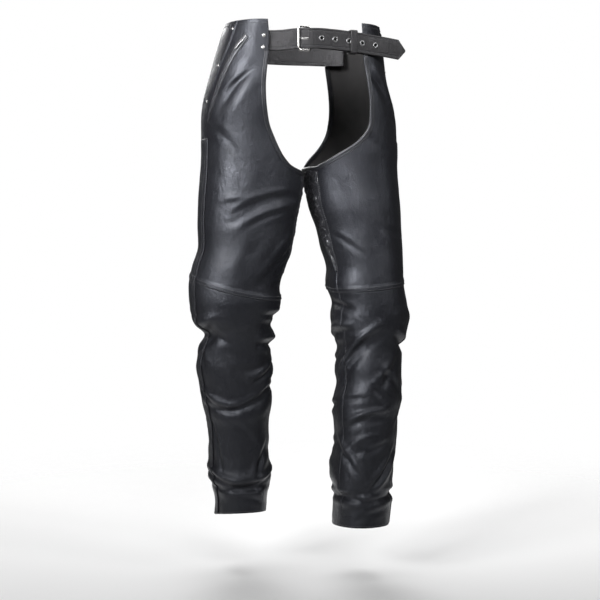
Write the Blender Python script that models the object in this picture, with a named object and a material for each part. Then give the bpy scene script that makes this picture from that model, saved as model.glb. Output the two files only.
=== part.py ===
# Leather chaps, worn: two leather legs that hang from a belt, open in front and at the seat.
# Metres, +Z up, front towards -Y. The origin is the middle of the belt ring.
# The wearer's right leg, named r_, stands at -X, and the left leg, l_, at +X.
# A leg's skin is given by an angle round the leg and a level in millimetres from the belt:
# angle 0 is the front, 90 the outer side, 180 the back and 270 (or -90) the inner side.

import math

import bmesh
import bpy
import numpy as np
from mathutils import Vector

MM = 0.001

# Leather and seams, in millimetres.
WALL = 2.0
SEAM_HALF = 0.2
LIFT = 0.4
FLAP_THICK = 1.6
BINDING_THICK = 1.0
BINDING_WIDTH = 6.0
BINDING_REACH = 9.0
BINDING_LIFT = 1.0
BINDING_TOP = -24.0

# Places of the seams: levels in millimetres, angles in degrees.
KNEE_LEVEL = -425.0
TOP_LEVEL = 36.0
FLAP_TOP = -165.0
INSEAM_ANGLE = -62.0
GUSSET_BACK_ANGLE = 236.0
GUSSET_TIP_LEVEL = -389.0
GUSSET_TIP_WIDTH = 3.0
FRONT_FIXED_ANGLES = (72.0, 81.0, 90.0)
BACK_FIXED_ANGLES = (90.0, 99.0, 108.0)
FLAP_ANGLES = (72.0, 81.0, 90.0, 99.0)
FRONT_CELLS = 7
BACK_CELLS = 9
GUSSET_CELLS = 10
PUCKER_RISE = 1.1
SECTION_POWER = 2.15
ARC_PER_DEGREE = 1.4

# Level and shape of each cross-section of a leg, in millimetres:
# level, axis distance from the middle, axis depth, then radii: outer, inner, front, back.
RIGHT_SECTIONS = (
    (38, 80, 0, 54, 60, 88, 84),
    (0, 80, 0, 66, 60, 90, 88),
    (-58, 84, 0, 79, 70, 96, 100),
    (-111, 87, 2, 87, 80, 98, 112),
    (-165, 87, 4, 88, 84, 96, 114),
    (-218, 88, 2, 89, 88, 92, 104),
    (-250, 90, 0, 90, 89, 89, 98),
    (-314, 98, -2, 85, 83, 86, 90),
    (-356, 101, -3, 83, 80, 84, 86),
    (-389, 111, -4, 83, 77, 82, 83),
    (-421, 118, -5, 82, 75, 80, 80),
    (-453, 118, -5, 82, 77, 80, 78),
    (-485, 119, -2, 73, 63, 74, 72),
    (-507, 115, 2, 55, 65, 68, 68),
    (-528, 115, 6, 65, 58, 65, 68),
    (-560, 115, 10, 71, 63, 66, 70),
    (-593, 114, 14, 66, 59, 66, 70),
    (-625, 109, 17, 66, 58, 64, 70),
    (-658, 106, 20, 60, 52, 62, 68),
    (-690, 104, 22, 58, 49, 60, 66),
    (-723, 103, 24, 57, 46, 60, 64),
    (-766, 100, 26, 59, 50, 62, 66),
    (-799, 99, 27, 51, 42, 58, 60),
    (-850, 100, 28, 51, 40, 58, 60),
)
LEFT_SECTIONS = (
    (38, 80, 0, 59, 60, 88, 84),
    (0, 80, 0, 65, 60, 90, 88),
    (-58, 84, 0, 69, 70, 96, 100),
    (-111, 87, 1, 83, 80, 98, 112),
    (-165, 89, 1, 87, 84, 96, 114),
    (-218, 93, 0, 83, 81, 92, 104),
    (-250, 97, -2, 82, 82, 89, 98),
    (-281, 100, -4, 81, 80, 88, 94),
    (-314, 105, -6, 77, 73, 86, 90),
    (-356, 111, -10, 73, 69, 84, 86),
    (-389, 116, -14, 68, 66, 82, 83),
    (-421, 116, -18, 68, 68, 80, 80),
    (-453, 120, -21, 68, 61, 80, 78),
    (-485, 121, -24, 70, 66, 76, 74),
    (-507, 120, -26, 66, 62, 72, 70),
    (-528, 119, -27, 59, 53, 68, 68),
    (-560, 117, -30, 60, 54, 67, 69),
    (-593, 115, -34, 59, 51, 66, 68),
    (-625, 112, -38, 61, 57, 64, 68),
    (-658, 108, -41, 58, 54, 62, 67),
    (-690, 107, -44, 57, 51, 61, 66),
    (-723, 103, -47, 56, 53, 60, 65),
    (-761, 98, -50, 56, 53, 60, 64),
    (-799, 97, -53, 53, 46, 58, 60),
    (-850, 95, -56, 50, 47, 58, 60),
)

# Edges of the scooped opening: level, angle of the front edge, angle of the back edge.
# The last row is the crotch corner, where the gusset begins.
RIGHT_OPENING = (
    (36, 1, 186),
    (8, 0, 185),
    (-24, 1, 183),
    (-46, 2, 181),
    (-72, 2.5, 179),
    (-97, 1.5, 178),
    (-122, -0.5, 179),
    (-146, -3.5, 183),
    (-165, -8.5, 189),
    (-184, -14.5, 198),
    (-197, -20, 207),
    (-206, -26, 215),
    (-213, -32, 223),
    (-218.5, -45, 230),
    (-222, -62, 236),
)
LEFT_OPENING = (
    (36, 4, 186),
    (8, 5, 185),
    (-24, 5, 183),
    (-46, 6, 181),
    (-72, 7, 179),
    (-97, 8, 178),
    (-122, 7.5, 179),
    (-146, 5.5, 182),
    (-165, -3, 188),
    (-180, -15, 196),
    (-191, -27, 205),
    (-200, -38, 214),
    (-206, -47, 222),
    (-210, -55, 229),
    (-213, -62, 236),
)

# Folds: start angle and level, end angle and level, sag of the middle, half-width, rise.
# A rise below zero is a trough.
RIGHT_FOLDS = (
    (16, -44, 50, -116, 2, 9, -3.0),
    (8, -62, 38, -132, 2, 10, 1.8),
    (46, -272, 20, -268, 2, 6, 1.6),
    (28, -308, -48, -266, 10, 8, -2.6),
    (26, -322, -40, -282, 10, 9, 1.8),
    (-20, -410, -76, -340, 6, 9, -2.6),
    (-14, -396, -60, -334, 6, 9, 2.0),
    (85, -488, 40, -480, 4, 9, 3.0),
    (47, -496, 92, -540, -4, 8, -3.0),
    (-30, -486, -100, -490, -4, 9, -3.0),
    (-20, -530, -50, -538, 3, 9, 3.0),
    (-76, -566, -16, -586, -4, 8, 3.0),
    (-70, -548, 10, -566, -5, 8, -2.4),
    (80, -616, 14, -633, -6, 7, 3.4),
    (76, -632, -52, -606, -16, 6, -3.8),
    (70, -650, -50, -628, -14, 9, 2.0),
    (-54, -716, 18, -760, -6, 9, 3.0),
    (-100, -706, -40, -716, 0, 9, -2.6),
    (110, -755, -60, -752, -8, 9, 3.4),
    (110, -775, -64, -772, -8, 6, -4.4),
    (110, -480, 240, -500, 8, 10, -4.0),
    (120, -462, 230, -470, 6, 12, 3.4),
    (130, -520, 250, -512, -8, 10, 3.6),
    (100, -552, 220, -566, 8, 10, -3.2),
    (140, -596, 270, -580, 8, 11, 3.2),
    (110, -620, 240, -640, -8, 9, -3.6),
    (120, -664, 260, -652, 8, 10, 3.0),
    (105, -700, 230, -712, -6, 9, -3.2),
    (120, -770, 280, -758, 6, 9, -3.6),
    (110, -748, 262, -738, 6, 10, 3.0),
    (120, -300, 200, -330, 8, 12, -2.4),
    (150, -372, 240, -352, -8, 12, 2.4),
)
LEFT_FOLDS = (
    (10, -46, 32, -106, 2, 9, -2.6),
    (20, -44, 44, -96, 2, 9, 1.6),
    (-8, -492, -80, -588, 6, 8, 4.0),
    (4, -508, -66, -592, 6, 8, -3.2),
    (16, -560, -6, -588, 0, 7, 2.8),
    (30, -560, 4, -600, 0, 8, -2.4),
    (-48, -658, 12, -640, 4, 7, 3.0),
    (-50, -672, 20, -656, 4, 7, -2.8),
    (-48, -708, 2, -683, 6, 7, 2.8),
    (-40, -722, 14, -700, 4, 7, -2.4),
    (-76, -694, -6, -776, 4, 7, 3.2),
    (64, -714, -2, -784, -4, 7, 3.2),
    (-30, -690, 10, -736, 0, 12, -1.8),
    (-74, -789, 78, -787, 4, 6, -5.0),
    (-70, -803, 78, -802, 4, 8, 2.6),
    (40, -520, 90, -532, 0, 8, -3.0),
    (-100, -506, -50, -512, 0, 8, -3.0),
    (30, -470, 80, -480, 2, 10, 2.4),
    (110, -478, 240, -496, 8, 10, -4.0),
    (120, -460, 230, -470, 6, 12, 3.2),
    (130, -520, 250, -514, -8, 10, 3.4),
    (100, -556, 220, -566, 8, 10, -3.2),
    (140, -596, 270, -582, 8, 11, 3.0),
    (110, -622, 240, -640, -8, 9, -3.4),
    (120, -664, 260, -650, 8, 10, 3.0),
    (105, -704, 230, -712, -6, 9, -3.2),
    (110, -748, 262, -740, 6, 10, 3.0),
    (100, -786, 280, -780, 6, 8, -4.0),
    (120, -310, 200, -336, 8, 12, -2.2),
    (150, -374, 240, -356, -8, 12, 2.2),
)

# Belt: strap width and thickness, then centre lines as x, y, z in millimetres.
BELT_WIDTH = 35.0
BELT_THICK = 2.6
TONGUE_PATH = (
    (-104, -77.4, -2),
    (-80, -83.9, -1.7),
    (-58, -90.5, -1),
    (-45, -95, 0.5),
    (-31.6, -99.1, 1.7),
    (-21, -102.6, 1.9),
    (-10, -105.6, 2),
    (3, -105.2, 2.5),
    (25, -102.6, 2.3),
    (60, -98.8, 0.5),
    (88, -95.2, -2),
    (125, -88.8, -5),
    (155, -82.6, -8),
)
TONGUE_POINT = 15.0
BUCKLE_STRAP_PATH = (
    (104, -79.2, -3),
    (88, -84.4, -2),
    (60, -91.5, 0),
    (25, -97.6, 2),
    (8, -99.2, 2),
)
BACK_BAND_PATH = (
    (-106, 69.9, 0),
    (-80, 79.4, 0),
    (-40, 89, 1),
    (0, 92, 1),
    (40, 89, 1),
    (80, 79.4, 0),
    (106, 69.9, 0),
)
BACK_BAND_WIDTH = 40.0

# Buckle: bars in plan, and the frame's bar radius.
FREE_BAR = (-31.6, -102.9)
HINGE_BAR = (-10.0, -99.7)
BUCKLE_LEVEL = 1.9
BAR_RADIUS = 1.5
FRAME_HALF_HEIGHT = 20.0
PRONG_RADIUS = 0.9
PRONG_SLOT_HALF = 1.6
FOLD_HALF_HEIGHT = 15.2

# The buckle strap's fold: where it leaves the straight run, where it ends behind, and its prong hole.
BUCKLE_FOLD_START = (-4.0, -101.6, 1.9)
BUCKLE_FOLD_TAIL = (
    (-4, -96.4, 1.9),
    (6, -95.8, 2),
    (24, -93.6, 2),
)
PRONG_ROOM = (11.0, 12.0, 4.4)

# Eyelets and keeper, placed along X on the tongue.
EYELET_FIRST = 8.0
EYELET_PITCH = 25.3
EYELET_COUNT = 5
EYELET_OUTER = 5.0
EYELET_HOLE = 2.6
EYELET_THICK = 0.8
KEEPER_X = 67.5
KEEPER_BAND = 13.0
KEEPER_THICK = 1.8
KEEPER_ROOM = 1.5
KEEPER_DEPTH = 11.6

# Rivets: domed heads, placed by leg, angle and level.
RIVET_RADIUS = 3.0
RIVET_HEIGHT = 1.4
LOW_RIVET_HEIGHT = 1.1
HIP_RIVETS = ((50, 22), (66, -41), (80, -101))
CORNER_RIVETS = ((6, 7), (6, -14))
BACK_RIVETS = ((176, 14), (176, -4))

# Pocket zip on the right hip: angle and level down its line, then its sizes.
ZIP_LINE = ((25, 8), (33, -7), (40, -21), (50, -51), (56, -73), (63, -101), (71, -135))
ZIP_HALF_WIDTH = 6.0
ZIP_THICK = 1.0
SLIDER_PLACE = 0.12
SLIDER_LENGTH = 9.0
SLIDER_WIDTH = 7.6
SLIDER_HEIGHT = 2.4
BAIL_HALF_LENGTH = 2.4
BAIL_WIDTH = 1.6
BAIL_THICK = 0.9
PIVOT_HEIGHT = 0.9
PULL_BAR_RADIUS = 0.5
PULL_WINDOW_END = 3.6
PULL_LENGTH = 17.0
PULL_WIDTH = 5.4
PULL_ARM = 1.2


def clear_scene():
    for item in list(bpy.data.objects):
        bpy.data.objects.remove(item, do_unlink=True)


def finish_material(name, colour, roughness, metallic):
    material = bpy.data.materials.new(name)
    material.use_nodes = True
    shader = material.node_tree.nodes["Principled BSDF"]
    shader.inputs["Base Color"].default_value = (*colour, 1.0)
    shader.inputs["Roughness"].default_value = roughness
    shader.inputs["Metallic"].default_value = metallic
    material.diffuse_color = (*colour, 1.0)
    return material


def leather(name, shade=0.022):
    return finish_material(name + "_leather", (shade, shade, shade * 1.08), 0.42, 0.0)


def metal(name, shade=0.62):
    return finish_material(name + "_nickel", (shade, shade, shade), 0.22, 1.0)


def solid(name, points, faces, material, parent=None):
    # Points are in millimetres. Faces are turned outwards before the object is made.
    mesh = bpy.data.meshes.new(name)
    build = bmesh.new()
    corners = [build.verts.new(Vector(point) * MM) for point in points]
    for face in faces:
        build.faces.new([corners[index] for index in face])
    bmesh.ops.recalc_face_normals(build, faces=build.faces)
    build.to_mesh(mesh)
    build.free()
    mesh.materials.append(material)
    mesh.shade_smooth()
    mesh.set_sharp_from_angle(angle=math.radians(40))
    item = bpy.data.objects.new(name, mesh)
    bpy.context.collection.objects.link(item)
    if parent is not None:
        item.parent = parent
    return item


def cut(item, name, points, faces):
    # Takes the closed shape given by points and faces out of an object.
    cutter = solid(name, points, faces, item.data.materials[0])
    cutter.hide_render = True
    cutter.display_type = "WIRE"
    boolean = item.modifiers.new(name, "BOOLEAN")
    boolean.operation = "DIFFERENCE"
    boolean.object = cutter


def join(item, name, points, faces):
    # Adds the closed shape given by points and faces to an object.
    cut(item, name, points, faces)
    item.modifiers[-1].operation = "UNION"


def wall(name, outer, inner, material):
    # A closed wall between two grids of points, rows by columns, both split the same way.
    rows = len(outer)
    columns = len(outer[0])
    points = [point for row in outer for point in row] + [point for row in inner for point in row]
    back = rows * columns
    faces = []
    for i in range(rows - 1):
        for j in range(columns - 1):
            a = i * columns + j
            b, c, d = a + 1, a + columns + 1, a + columns
            faces += [(a, b, c), (a, c, d)]
            faces += [(back + a, back + c, back + b), (back + a, back + d, back + c)]
    last = (rows - 1) * columns
    for j in range(columns - 1):
        faces.append((j, j + 1, back + j + 1, back + j))
        faces.append((last + j, last + j + 1, back + last + j + 1, back + last + j))
    for i in range(rows - 1):
        near, far = i * columns, (i + 1) * columns
        faces.append((near, far, back + far, back + near))
        near, far = near + columns - 1, far + columns - 1
        faces.append((near, far, back + far, back + near))
    return solid(name, points, faces, material)


def strip_faces(stations, around, closed=False):
    # Faces of a tube whose stations each have the same number of points around.
    faces = []
    spans = stations if closed else stations - 1
    for i in range(spans):
        here = i * around
        there = ((i + 1) % stations) * around
        for j in range(around):
            k = (j + 1) % around
            faces.append((here + j, here + k, there + k, there + j))
    if not closed:
        faces.append(tuple(range(around)))
        faces.append(tuple((stations - 1) * around + j for j in range(around)))
    return faces


def smoothstep(low, high, value):
    share = min(1.0, max(0.0, (value - low) / (high - low)))
    return share * share * (3.0 - 2.0 * share)


def curve_at(table, place):
    # Smooth curve through a table whose first column rises: the other columns at a place.
    table = np.array(table, dtype=float)
    keys = table[:, 0]
    values = table[:, 1:]
    slopes = np.gradient(values, keys, axis=0)
    place = min(keys[-1], max(keys[0], place))
    i = min(len(keys) - 2, max(0, int(np.searchsorted(keys, place)) - 1))
    span = keys[i + 1] - keys[i]
    t = (place - keys[i]) / span
    start = (1 + 2 * t) * (1 - t) ** 2 * values[i] + t * (1 - t) ** 2 * span * slopes[i]
    end = t * t * (3 - 2 * t) * values[i + 1] + t * t * (t - 1) * span * slopes[i + 1]
    return start + end


def route_through(points, step):
    # Smooth route through a few points, as evenly spaced points with tangents.
    points = np.array(points, dtype=float)
    along = np.concatenate(([0.0], np.cumsum(np.linalg.norm(np.diff(points, axis=0), axis=1))))
    table = np.column_stack((along, points))
    count = max(2, round(along[-1] / step) + 1)
    return [Vector(curve_at(table, place)) for place in np.linspace(0.0, along[-1], count)]


class Leg:
    # The skin of one leg, as a function of angle and level.
    def __init__(self, prefix, side, sections, opening, folds, knee_tilt, hem_level, hem_lift):
        self.prefix = prefix
        self.side = side
        self.sections = sorted(sections)
        self.opening = sorted(opening)
        self.folds = folds
        self.knee_front, self.knee_outer = knee_tilt
        self.hem_level = hem_level
        self.hem_lift = hem_lift
        self.corner_level = self.opening[0][0]

    def level_at(self, angle, level):
        # The knee seam, the top edge and the hem are not level all round the leg.
        fore = math.cos(math.radians(angle))
        out = math.sin(math.radians(angle))
        near_knee = math.exp(-(((level - KNEE_LEVEL) / 60.0) ** 2))
        near_top = smoothstep(-30.0, TOP_LEVEL, level)
        near_hem = 1.0 - smoothstep(self.hem_level, self.hem_level + 70.0, level)
        knee = near_knee * (self.knee_outer * out - self.knee_front * fore)
        return level + knee + near_top * (1.5 - 3.0 * fore) + near_hem * self.hem_lift * fore

    def fold_rise(self, angle, level):
        rise = 0.0
        for start, start_level, end, end_level, sag, half_width, height in self.folds:
            here = angle
            middle = (start + end) / 2.0
            while here - middle > 180.0:
                here -= 360.0
            while here - middle < -180.0:
                here += 360.0
            across = (end - start) * ARC_PER_DEGREE
            down = end_level - start_level
            length = math.hypot(across, down)
            x = (here - start) * ARC_PER_DEGREE
            y = level - start_level
            t = (x * across + y * down) / length ** 2
            beyond = max(0.0, -t, t - 1.0) * length
            held = min(1.0, max(0.0, t))
            bow = 4.0 * sag * held * (1.0 - held)
            offset = (y * across - x * down) / length
            if across < 0:
                offset = -offset
            offset -= bow
            ends = 0.55 + 0.45 * math.sin(math.pi * held)
            rise += height * ends * math.exp(-((offset / half_width) ** 2) - (beyond / 14.0) ** 2)
        return rise

    def point(self, angle, level):
        level = self.level_at(angle, level)
        axis_x, axis_y, outer, inner, front, back = curve_at(self.sections, level)
        fore = math.cos(math.radians(angle))
        out = math.sin(math.radians(angle))
        across = outer if out > 0 else inner
        deep = front if fore > 0 else back
        total = abs(out / across) ** SECTION_POWER + abs(fore / deep) ** SECTION_POWER
        radius = total ** (-1.0 / SECTION_POWER) + self.fold_rise(angle, level)
        return Vector((self.side * (axis_x + radius * out), axis_y - radius * fore, level))

    def normal(self, angle, level):
        around = self.point(angle + 1.0, level) - self.point(angle - 1.0, level)
        upward = self.point(angle, level + 1.5) - self.point(angle, level - 1.5)
        return (upward.cross(around) * -self.side).normalized()

    def raised(self, angle, level, height):
        return self.point(angle, level) + self.normal(angle, level) * height

    def seam_shift(self, level):
        # Half a seam's gap, as an angle.
        radii = curve_at(self.sections, level)[2:]
        return math.degrees(SEAM_HALF / min(radii))

    def gusset_back(self, level):
        if level <= GUSSET_TIP_LEVEL - 1.0:
            return 360.0 + INSEAM_ANGLE
        share = (level - GUSSET_TIP_LEVEL) / (self.corner_level - GUSSET_TIP_LEVEL)
        share = max(0.0, share) ** 0.85
        tip = 360.0 + INSEAM_ANGLE - GUSSET_TIP_WIDTH
        return tip + (GUSSET_BACK_ANGLE - tip) * share

    def front_edge(self, level):
        if level <= self.corner_level:
            return INSEAM_ANGLE
        return curve_at(self.opening, level)[0]

    def back_edge(self, level):
        if level <= self.corner_level:
            return self.gusset_back(level)
        return curve_at(self.opening, level)[1]

    def inset(self, edge, level):
        # Angle by which the binding's width reaches into the panel at this level.
        if level <= self.corner_level - 1.0:
            return BINDING_WIDTH / ARC_PER_DEGREE
        above = edge(min(TOP_LEVEL, level + 2.0)) - edge(max(self.corner_level, level - 2.0))
        span = min(TOP_LEVEL, level + 2.0) - max(self.corner_level, level - 2.0)
        lean = math.hypot(above * ARC_PER_DEGREE, span) / span
        return min(BINDING_REACH, BINDING_WIDTH * lean) / ARC_PER_DEGREE


def thigh_levels(leg):
    first = leg.corner_level - 8.0
    below = np.linspace(KNEE_LEVEL, GUSSET_TIP_LEVEL, 3)[:-1]
    middle = np.linspace(GUSSET_TIP_LEVEL, first, 9)
    opening = [row[0] for row in leg.opening]
    return list(below) + list(middle) + opening


def shin_levels(leg):
    return list(np.linspace(leg.hem_level, KNEE_LEVEL, 27))


def front_angles(leg, level):
    edge = leg.front_edge(level)
    shift = leg.seam_shift(level)
    first = edge + (shift if level <= leg.corner_level else 0.0)
    second = edge + leg.inset(leg.front_edge, level)
    spaced = list(np.linspace(second, FRONT_FIXED_ANGLES[0], FRONT_CELLS + 1))[:-1]
    fixed = [*FRONT_FIXED_ANGLES[:-1], FRONT_FIXED_ANGLES[-1] - shift]
    return [first, *spaced, *fixed]


def back_angles(leg, level):
    edge = leg.back_edge(level)
    shift = leg.seam_shift(level)
    last = edge - (shift if level <= leg.corner_level else 0.0)
    second = edge - leg.inset(leg.back_edge, level)
    fixed = [BACK_FIXED_ANGLES[0] + shift, *BACK_FIXED_ANGLES[1:]]
    spaced = list(np.linspace(BACK_FIXED_ANGLES[-1], second, BACK_CELLS + 1))[1:]
    return [*fixed, *spaced, last]


def panel(leg, name, levels, angles):
    outer = [[leg.point(angle, level) for angle in angles(leg, level)] for level in levels]
    inner = [[leg.raised(angle, level, -WALL) for angle in angles(leg, level)] for level in levels]
    label = leg.prefix + name
    return wall(label, outer, inner, leather(label))


def thigh_panels(leg):
    levels = thigh_levels(leg)
    levels[0] += SEAM_HALF
    panel(leg, "thigh_front", levels, front_angles)
    panel(leg, "thigh_back", levels, back_angles)


def shin_panels(leg):
    levels = shin_levels(leg)
    levels[-1] -= SEAM_HALF
    panel(leg, "shin_front", levels, front_angles)
    panel(leg, "shin_back", levels, back_angles)


def gusset_levels(leg):
    return [level for level in thigh_levels(leg) if GUSSET_TIP_LEVEL <= level <= leg.corner_level]


def gusset_angles(leg, level):
    shift = leg.seam_shift(level)
    back = leg.gusset_back(level) + shift
    front = 360.0 + INSEAM_ANGLE - shift
    return list(np.linspace(back, front, GUSSET_CELLS + 1))


def pucker(row, column, share):
    # Smocked puckers run down the gusset, uneven from row to row, and fade towards its tip.
    if column in (0, GUSSET_CELLS):
        return 0.0
    crest = 1.0 if column % 2 else -0.35
    return PUCKER_RISE * crest * math.sqrt(share) * (0.8 + 0.3 * math.cos(2.1 * row + 1.3 * column))


def stretch_gusset(leg):
    levels = gusset_levels(leg)
    outer = []
    inner = []
    for i, level in enumerate(levels):
        share = (level - GUSSET_TIP_LEVEL) / (leg.corner_level - GUSSET_TIP_LEVEL)
        angles = gusset_angles(leg, level)
        edge_row = i >= len(levels) - 2
        rise = [0.0 if edge_row else pucker(i, j, share) for j in range(GUSSET_CELLS + 1)]
        outer.append([leg.raised(angle, level, rise[j]) for j, angle in enumerate(angles)])
        inner.append([leg.raised(angle, level, -WALL) for angle in angles])
    label = leg.prefix + "stretch_gusset"
    return wall(label, outer, inner, leather(label, 0.016))


def side_flap(leg):
    # The strip over the outer zip, made from the panels' own points, moved out.
    shin = shin_levels(leg)
    thigh = [level for level in thigh_levels(leg)[1:] if level <= FLAP_TOP]
    levels = shin + thigh
    base = [[leg.raised(angle, level, LIFT) for angle in FLAP_ANGLES] for level in levels]
    top = [[leg.raised(angle, level, LIFT + FLAP_THICK) for angle in FLAP_ANGLES] for level in levels]
    label = leg.prefix + "side_flap"
    return wall(label, top, base, leather(label, 0.02))


def edge_binding(leg):
    # A narrow tape folded over the edge: front edge, crotch and back edge in one run.
    # Each station is the edge's place, then the place that the tape reaches into the panel.
    opening = [row[0] for row in leg.opening][::-1]
    bound = [level for level in opening if level <= BINDING_TOP]
    stations = []
    for level in bound:
        edge = leg.front_edge(level)
        stations.append(((edge, level), (edge + leg.inset(leg.front_edge, level), level)))
    below = gusset_levels(leg)[-2]
    edge_angles = gusset_angles(leg, leg.corner_level)[::-1][1:-1]
    inner_angles = gusset_angles(leg, below)[::-1][1:-1]
    for edge, inner in zip(edge_angles, inner_angles):
        stations.append(((edge, leg.corner_level), (inner, below)))
    for level in bound[::-1]:
        edge = leg.back_edge(level)
        stations.append(((edge, level), (edge - leg.inset(leg.back_edge, level), level)))
    points = []
    low = BINDING_LIFT
    high = BINDING_LIFT + BINDING_THICK
    for (edge_angle, edge_level), (in_angle, in_level) in stations:
        edge = leg.point(edge_angle, edge_level)
        normal = leg.normal(edge_angle, edge_level)
        inward = leg.point(in_angle, in_level)
        in_normal = leg.normal(in_angle, in_level)
        away = (edge - inward).normalized()
        points += [
            inward + in_normal * low,
            inward + in_normal * high,
            edge + away * high + normal * high,
            edge + away * high - normal * (WALL + high),
            inward - in_normal * (WALL + high),
            inward - in_normal * (WALL + low),
            edge + away * low - normal * (WALL + low),
            edge + away * low + normal * low,
        ]
    # Faces are split along the same diagonals as the panels under them.
    faces = []
    inner_places = (0, 1, 4, 5)
    for i in range(len(stations) - 1):
        over_gusset = len(bound) - 1 <= i < len(bound) - 1 + len(edge_angles)
        for j in range(8):
            k = (j + 1) % 8
            corners = [8 * i + j, 8 * i + k, 8 * i + 8 + k, 8 * i + 8 + j]
            first = (j in inner_places) == over_gusset
            a, b, c, d = corners[1:] + corners[:1] if first else corners
            faces += [(a, b, c), (a, c, d)]
    last = 8 * (len(stations) - 1)
    faces.append(tuple(range(8)))
    faces.append(tuple(last + j for j in range(8)))
    label = leg.prefix + "edge_binding"
    return solid(label, points, faces, leather(label, 0.03))


def ribbon(name, centres, half_heights, thick, material):
    # An upright strap along a route in plan.
    points = []
    count = len(centres)
    for i, centre in enumerate(centres):
        ahead = centres[min(count - 1, i + 1)] - centres[max(0, i - 1)]
        across = Vector((ahead.y, -ahead.x, 0.0)).normalized() * (thick / 2.0)
        rise = Vector((0.0, 0.0, half_heights[i]))
        points += [centre + across + rise, centre - across + rise]
        points += [centre - across - rise, centre + across - rise]
    return solid(name, points, strip_faces(count, 4), material)


def place_on(route, x):
    # The point of a route at a given X, with its direction in plan.
    for start, end in zip(route, route[1:]):
        if start.x <= x <= end.x:
            share = (x - start.x) / (end.x - start.x)
            ahead = Vector((end.x - start.x, end.y - start.y, 0.0)).normalized()
            return start.lerp(end, share), ahead
    raise ValueError("no such place on the route")


def ring(centre, along, upward, radius, count):
    return [
        centre
        + along * (radius * math.cos(2.0 * math.pi * i / count))
        + upward * (radius * math.sin(2.0 * math.pi * i / count))
        for i in range(count)
    ]


def box_shape(centre, along, across, upward, sizes):
    # Points and faces of a box with its own three directions.
    points = []
    for i in (-0.5, 0.5):
        for j in (-0.5, 0.5):
            for k in (-0.5, 0.5):
                reach = along * (sizes[0] * i) + across * (sizes[1] * j) + upward * (sizes[2] * k)
                points.append(centre + reach)
    faces = [(0, 1, 3, 2), (4, 6, 7, 5), (0, 4, 5, 1), (2, 3, 7, 6), (0, 2, 6, 4), (1, 5, 7, 3)]
    return points, faces


def belt_tongue():
    route = route_through(TONGUE_PATH, 11.0)
    half_heights = [BELT_WIDTH / 2.0] * len(route)
    tip, ahead = route[-1], (route[-1] - route[-2]).normalized()
    route.append(tip + ahead * TONGUE_POINT)
    half_heights.append(1.2)
    tongue = ribbon("belt_tongue", route, half_heights, BELT_THICK, leather("belt_tongue", 0.026))
    up = Vector((0.0, 0.0, 1.0))
    for i in range(EYELET_COUNT):
        centre, ahead = place_on(route, EYELET_FIRST + EYELET_PITCH * i)
        outward = Vector((ahead.y, -ahead.x, 0.0))
        inside = ring(centre - outward * 4.0, ahead, up, EYELET_HOLE, 10)
        outside = ring(centre + outward * 4.0, ahead, up, EYELET_HOLE, 10)
        cut(tongue, "eyelet_hole_%d" % (i + 1), inside + outside, strip_faces(2, 10))
        seat = centre + outward * (BELT_THICK / 2.0 + 0.3)
        eyelet("belt_eyelet_%d" % (i + 1), seat, ahead, up, outward)
    centre, ahead = place_on(route, (FREE_BAR[0] + HINGE_BAR[0]) / 2.0)
    outward = Vector((ahead.y, -ahead.x, 0.0))
    cut(tongue, "prong_slot", *box_shape(centre, ahead, outward, up, (12.0, 10.0, 2.0 * PRONG_SLOT_HALF)))
    return route


def eyelet(name, seat, ahead, up, outward):
    sections = []
    low_rim = ((EYELET_HOLE, 0.0), (EYELET_OUTER, 0.0))
    high_rim = ((EYELET_OUTER - 0.6, EYELET_THICK), (EYELET_HOLE + 0.4, EYELET_THICK))
    for radius, height in low_rim + high_rim:
        sections.append(ring(seat + outward * height, ahead, up, radius, 12))
    points = [sections[j][i] for i in range(12) for j in range(4)]
    return solid(name, points, strip_faces(12, 4, closed=True), metal(name))


def buckle_strap():
    # One strap from the left leg, folded back round the hinge bar.
    straight = route_through(BUCKLE_STRAP_PATH, 12.0)
    reach = BAR_RADIUS + 0.3 + BELT_THICK * 0.4
    bar = Vector((*HINGE_BAR, BUCKLE_LEVEL))
    turn = []
    for degrees in range(100, 281, 30):
        angle = math.radians(degrees + 6.0)
        turn.append(bar + Vector((math.cos(angle), -math.sin(angle), 0.0)) * reach)
    tail = [Vector(point) for point in BUCKLE_FOLD_TAIL]
    route = straight + [Vector(BUCKLE_FOLD_START)] + turn + tail
    thick = BELT_THICK * 0.8
    half_heights = [BELT_WIDTH / 2.0 - 0.5] * len(straight)
    half_heights += [FOLD_HALF_HEIGHT] * (len(route) - len(straight))
    strap = ribbon("belt_buckle_strap", route, half_heights, thick, leather("belt_buckle_strap", 0.024))
    along, across, up = Vector((1, 0, 0)), Vector((0, 1, 0)), Vector((0, 0, 1))
    cut(strap, "prong_room", *box_shape(bar - along, along, across, up, PRONG_ROOM))


def rod(name, route, radius, sides, material, closed=False, parent=None):
    # A round rod along a route, kept from twisting by one steady side direction.
    count = len(route)
    points = []
    for i, centre in enumerate(route):
        after = route[(i + 1) % count] if closed else route[min(count - 1, i + 1)]
        before = route[i - 1] if closed else route[max(0, i - 1)]
        ahead = (after - before).normalized()
        steady = Vector((0.12, -0.99, 0.0)) if closed else Vector((0.0, 0.0, 1.0))
        side = ahead.cross(steady).normalized()
        points += ring(centre, side, ahead.cross(side).normalized(), radius, sides)
    return solid(name, points, strip_faces(count, sides, closed), material, parent)


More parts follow.
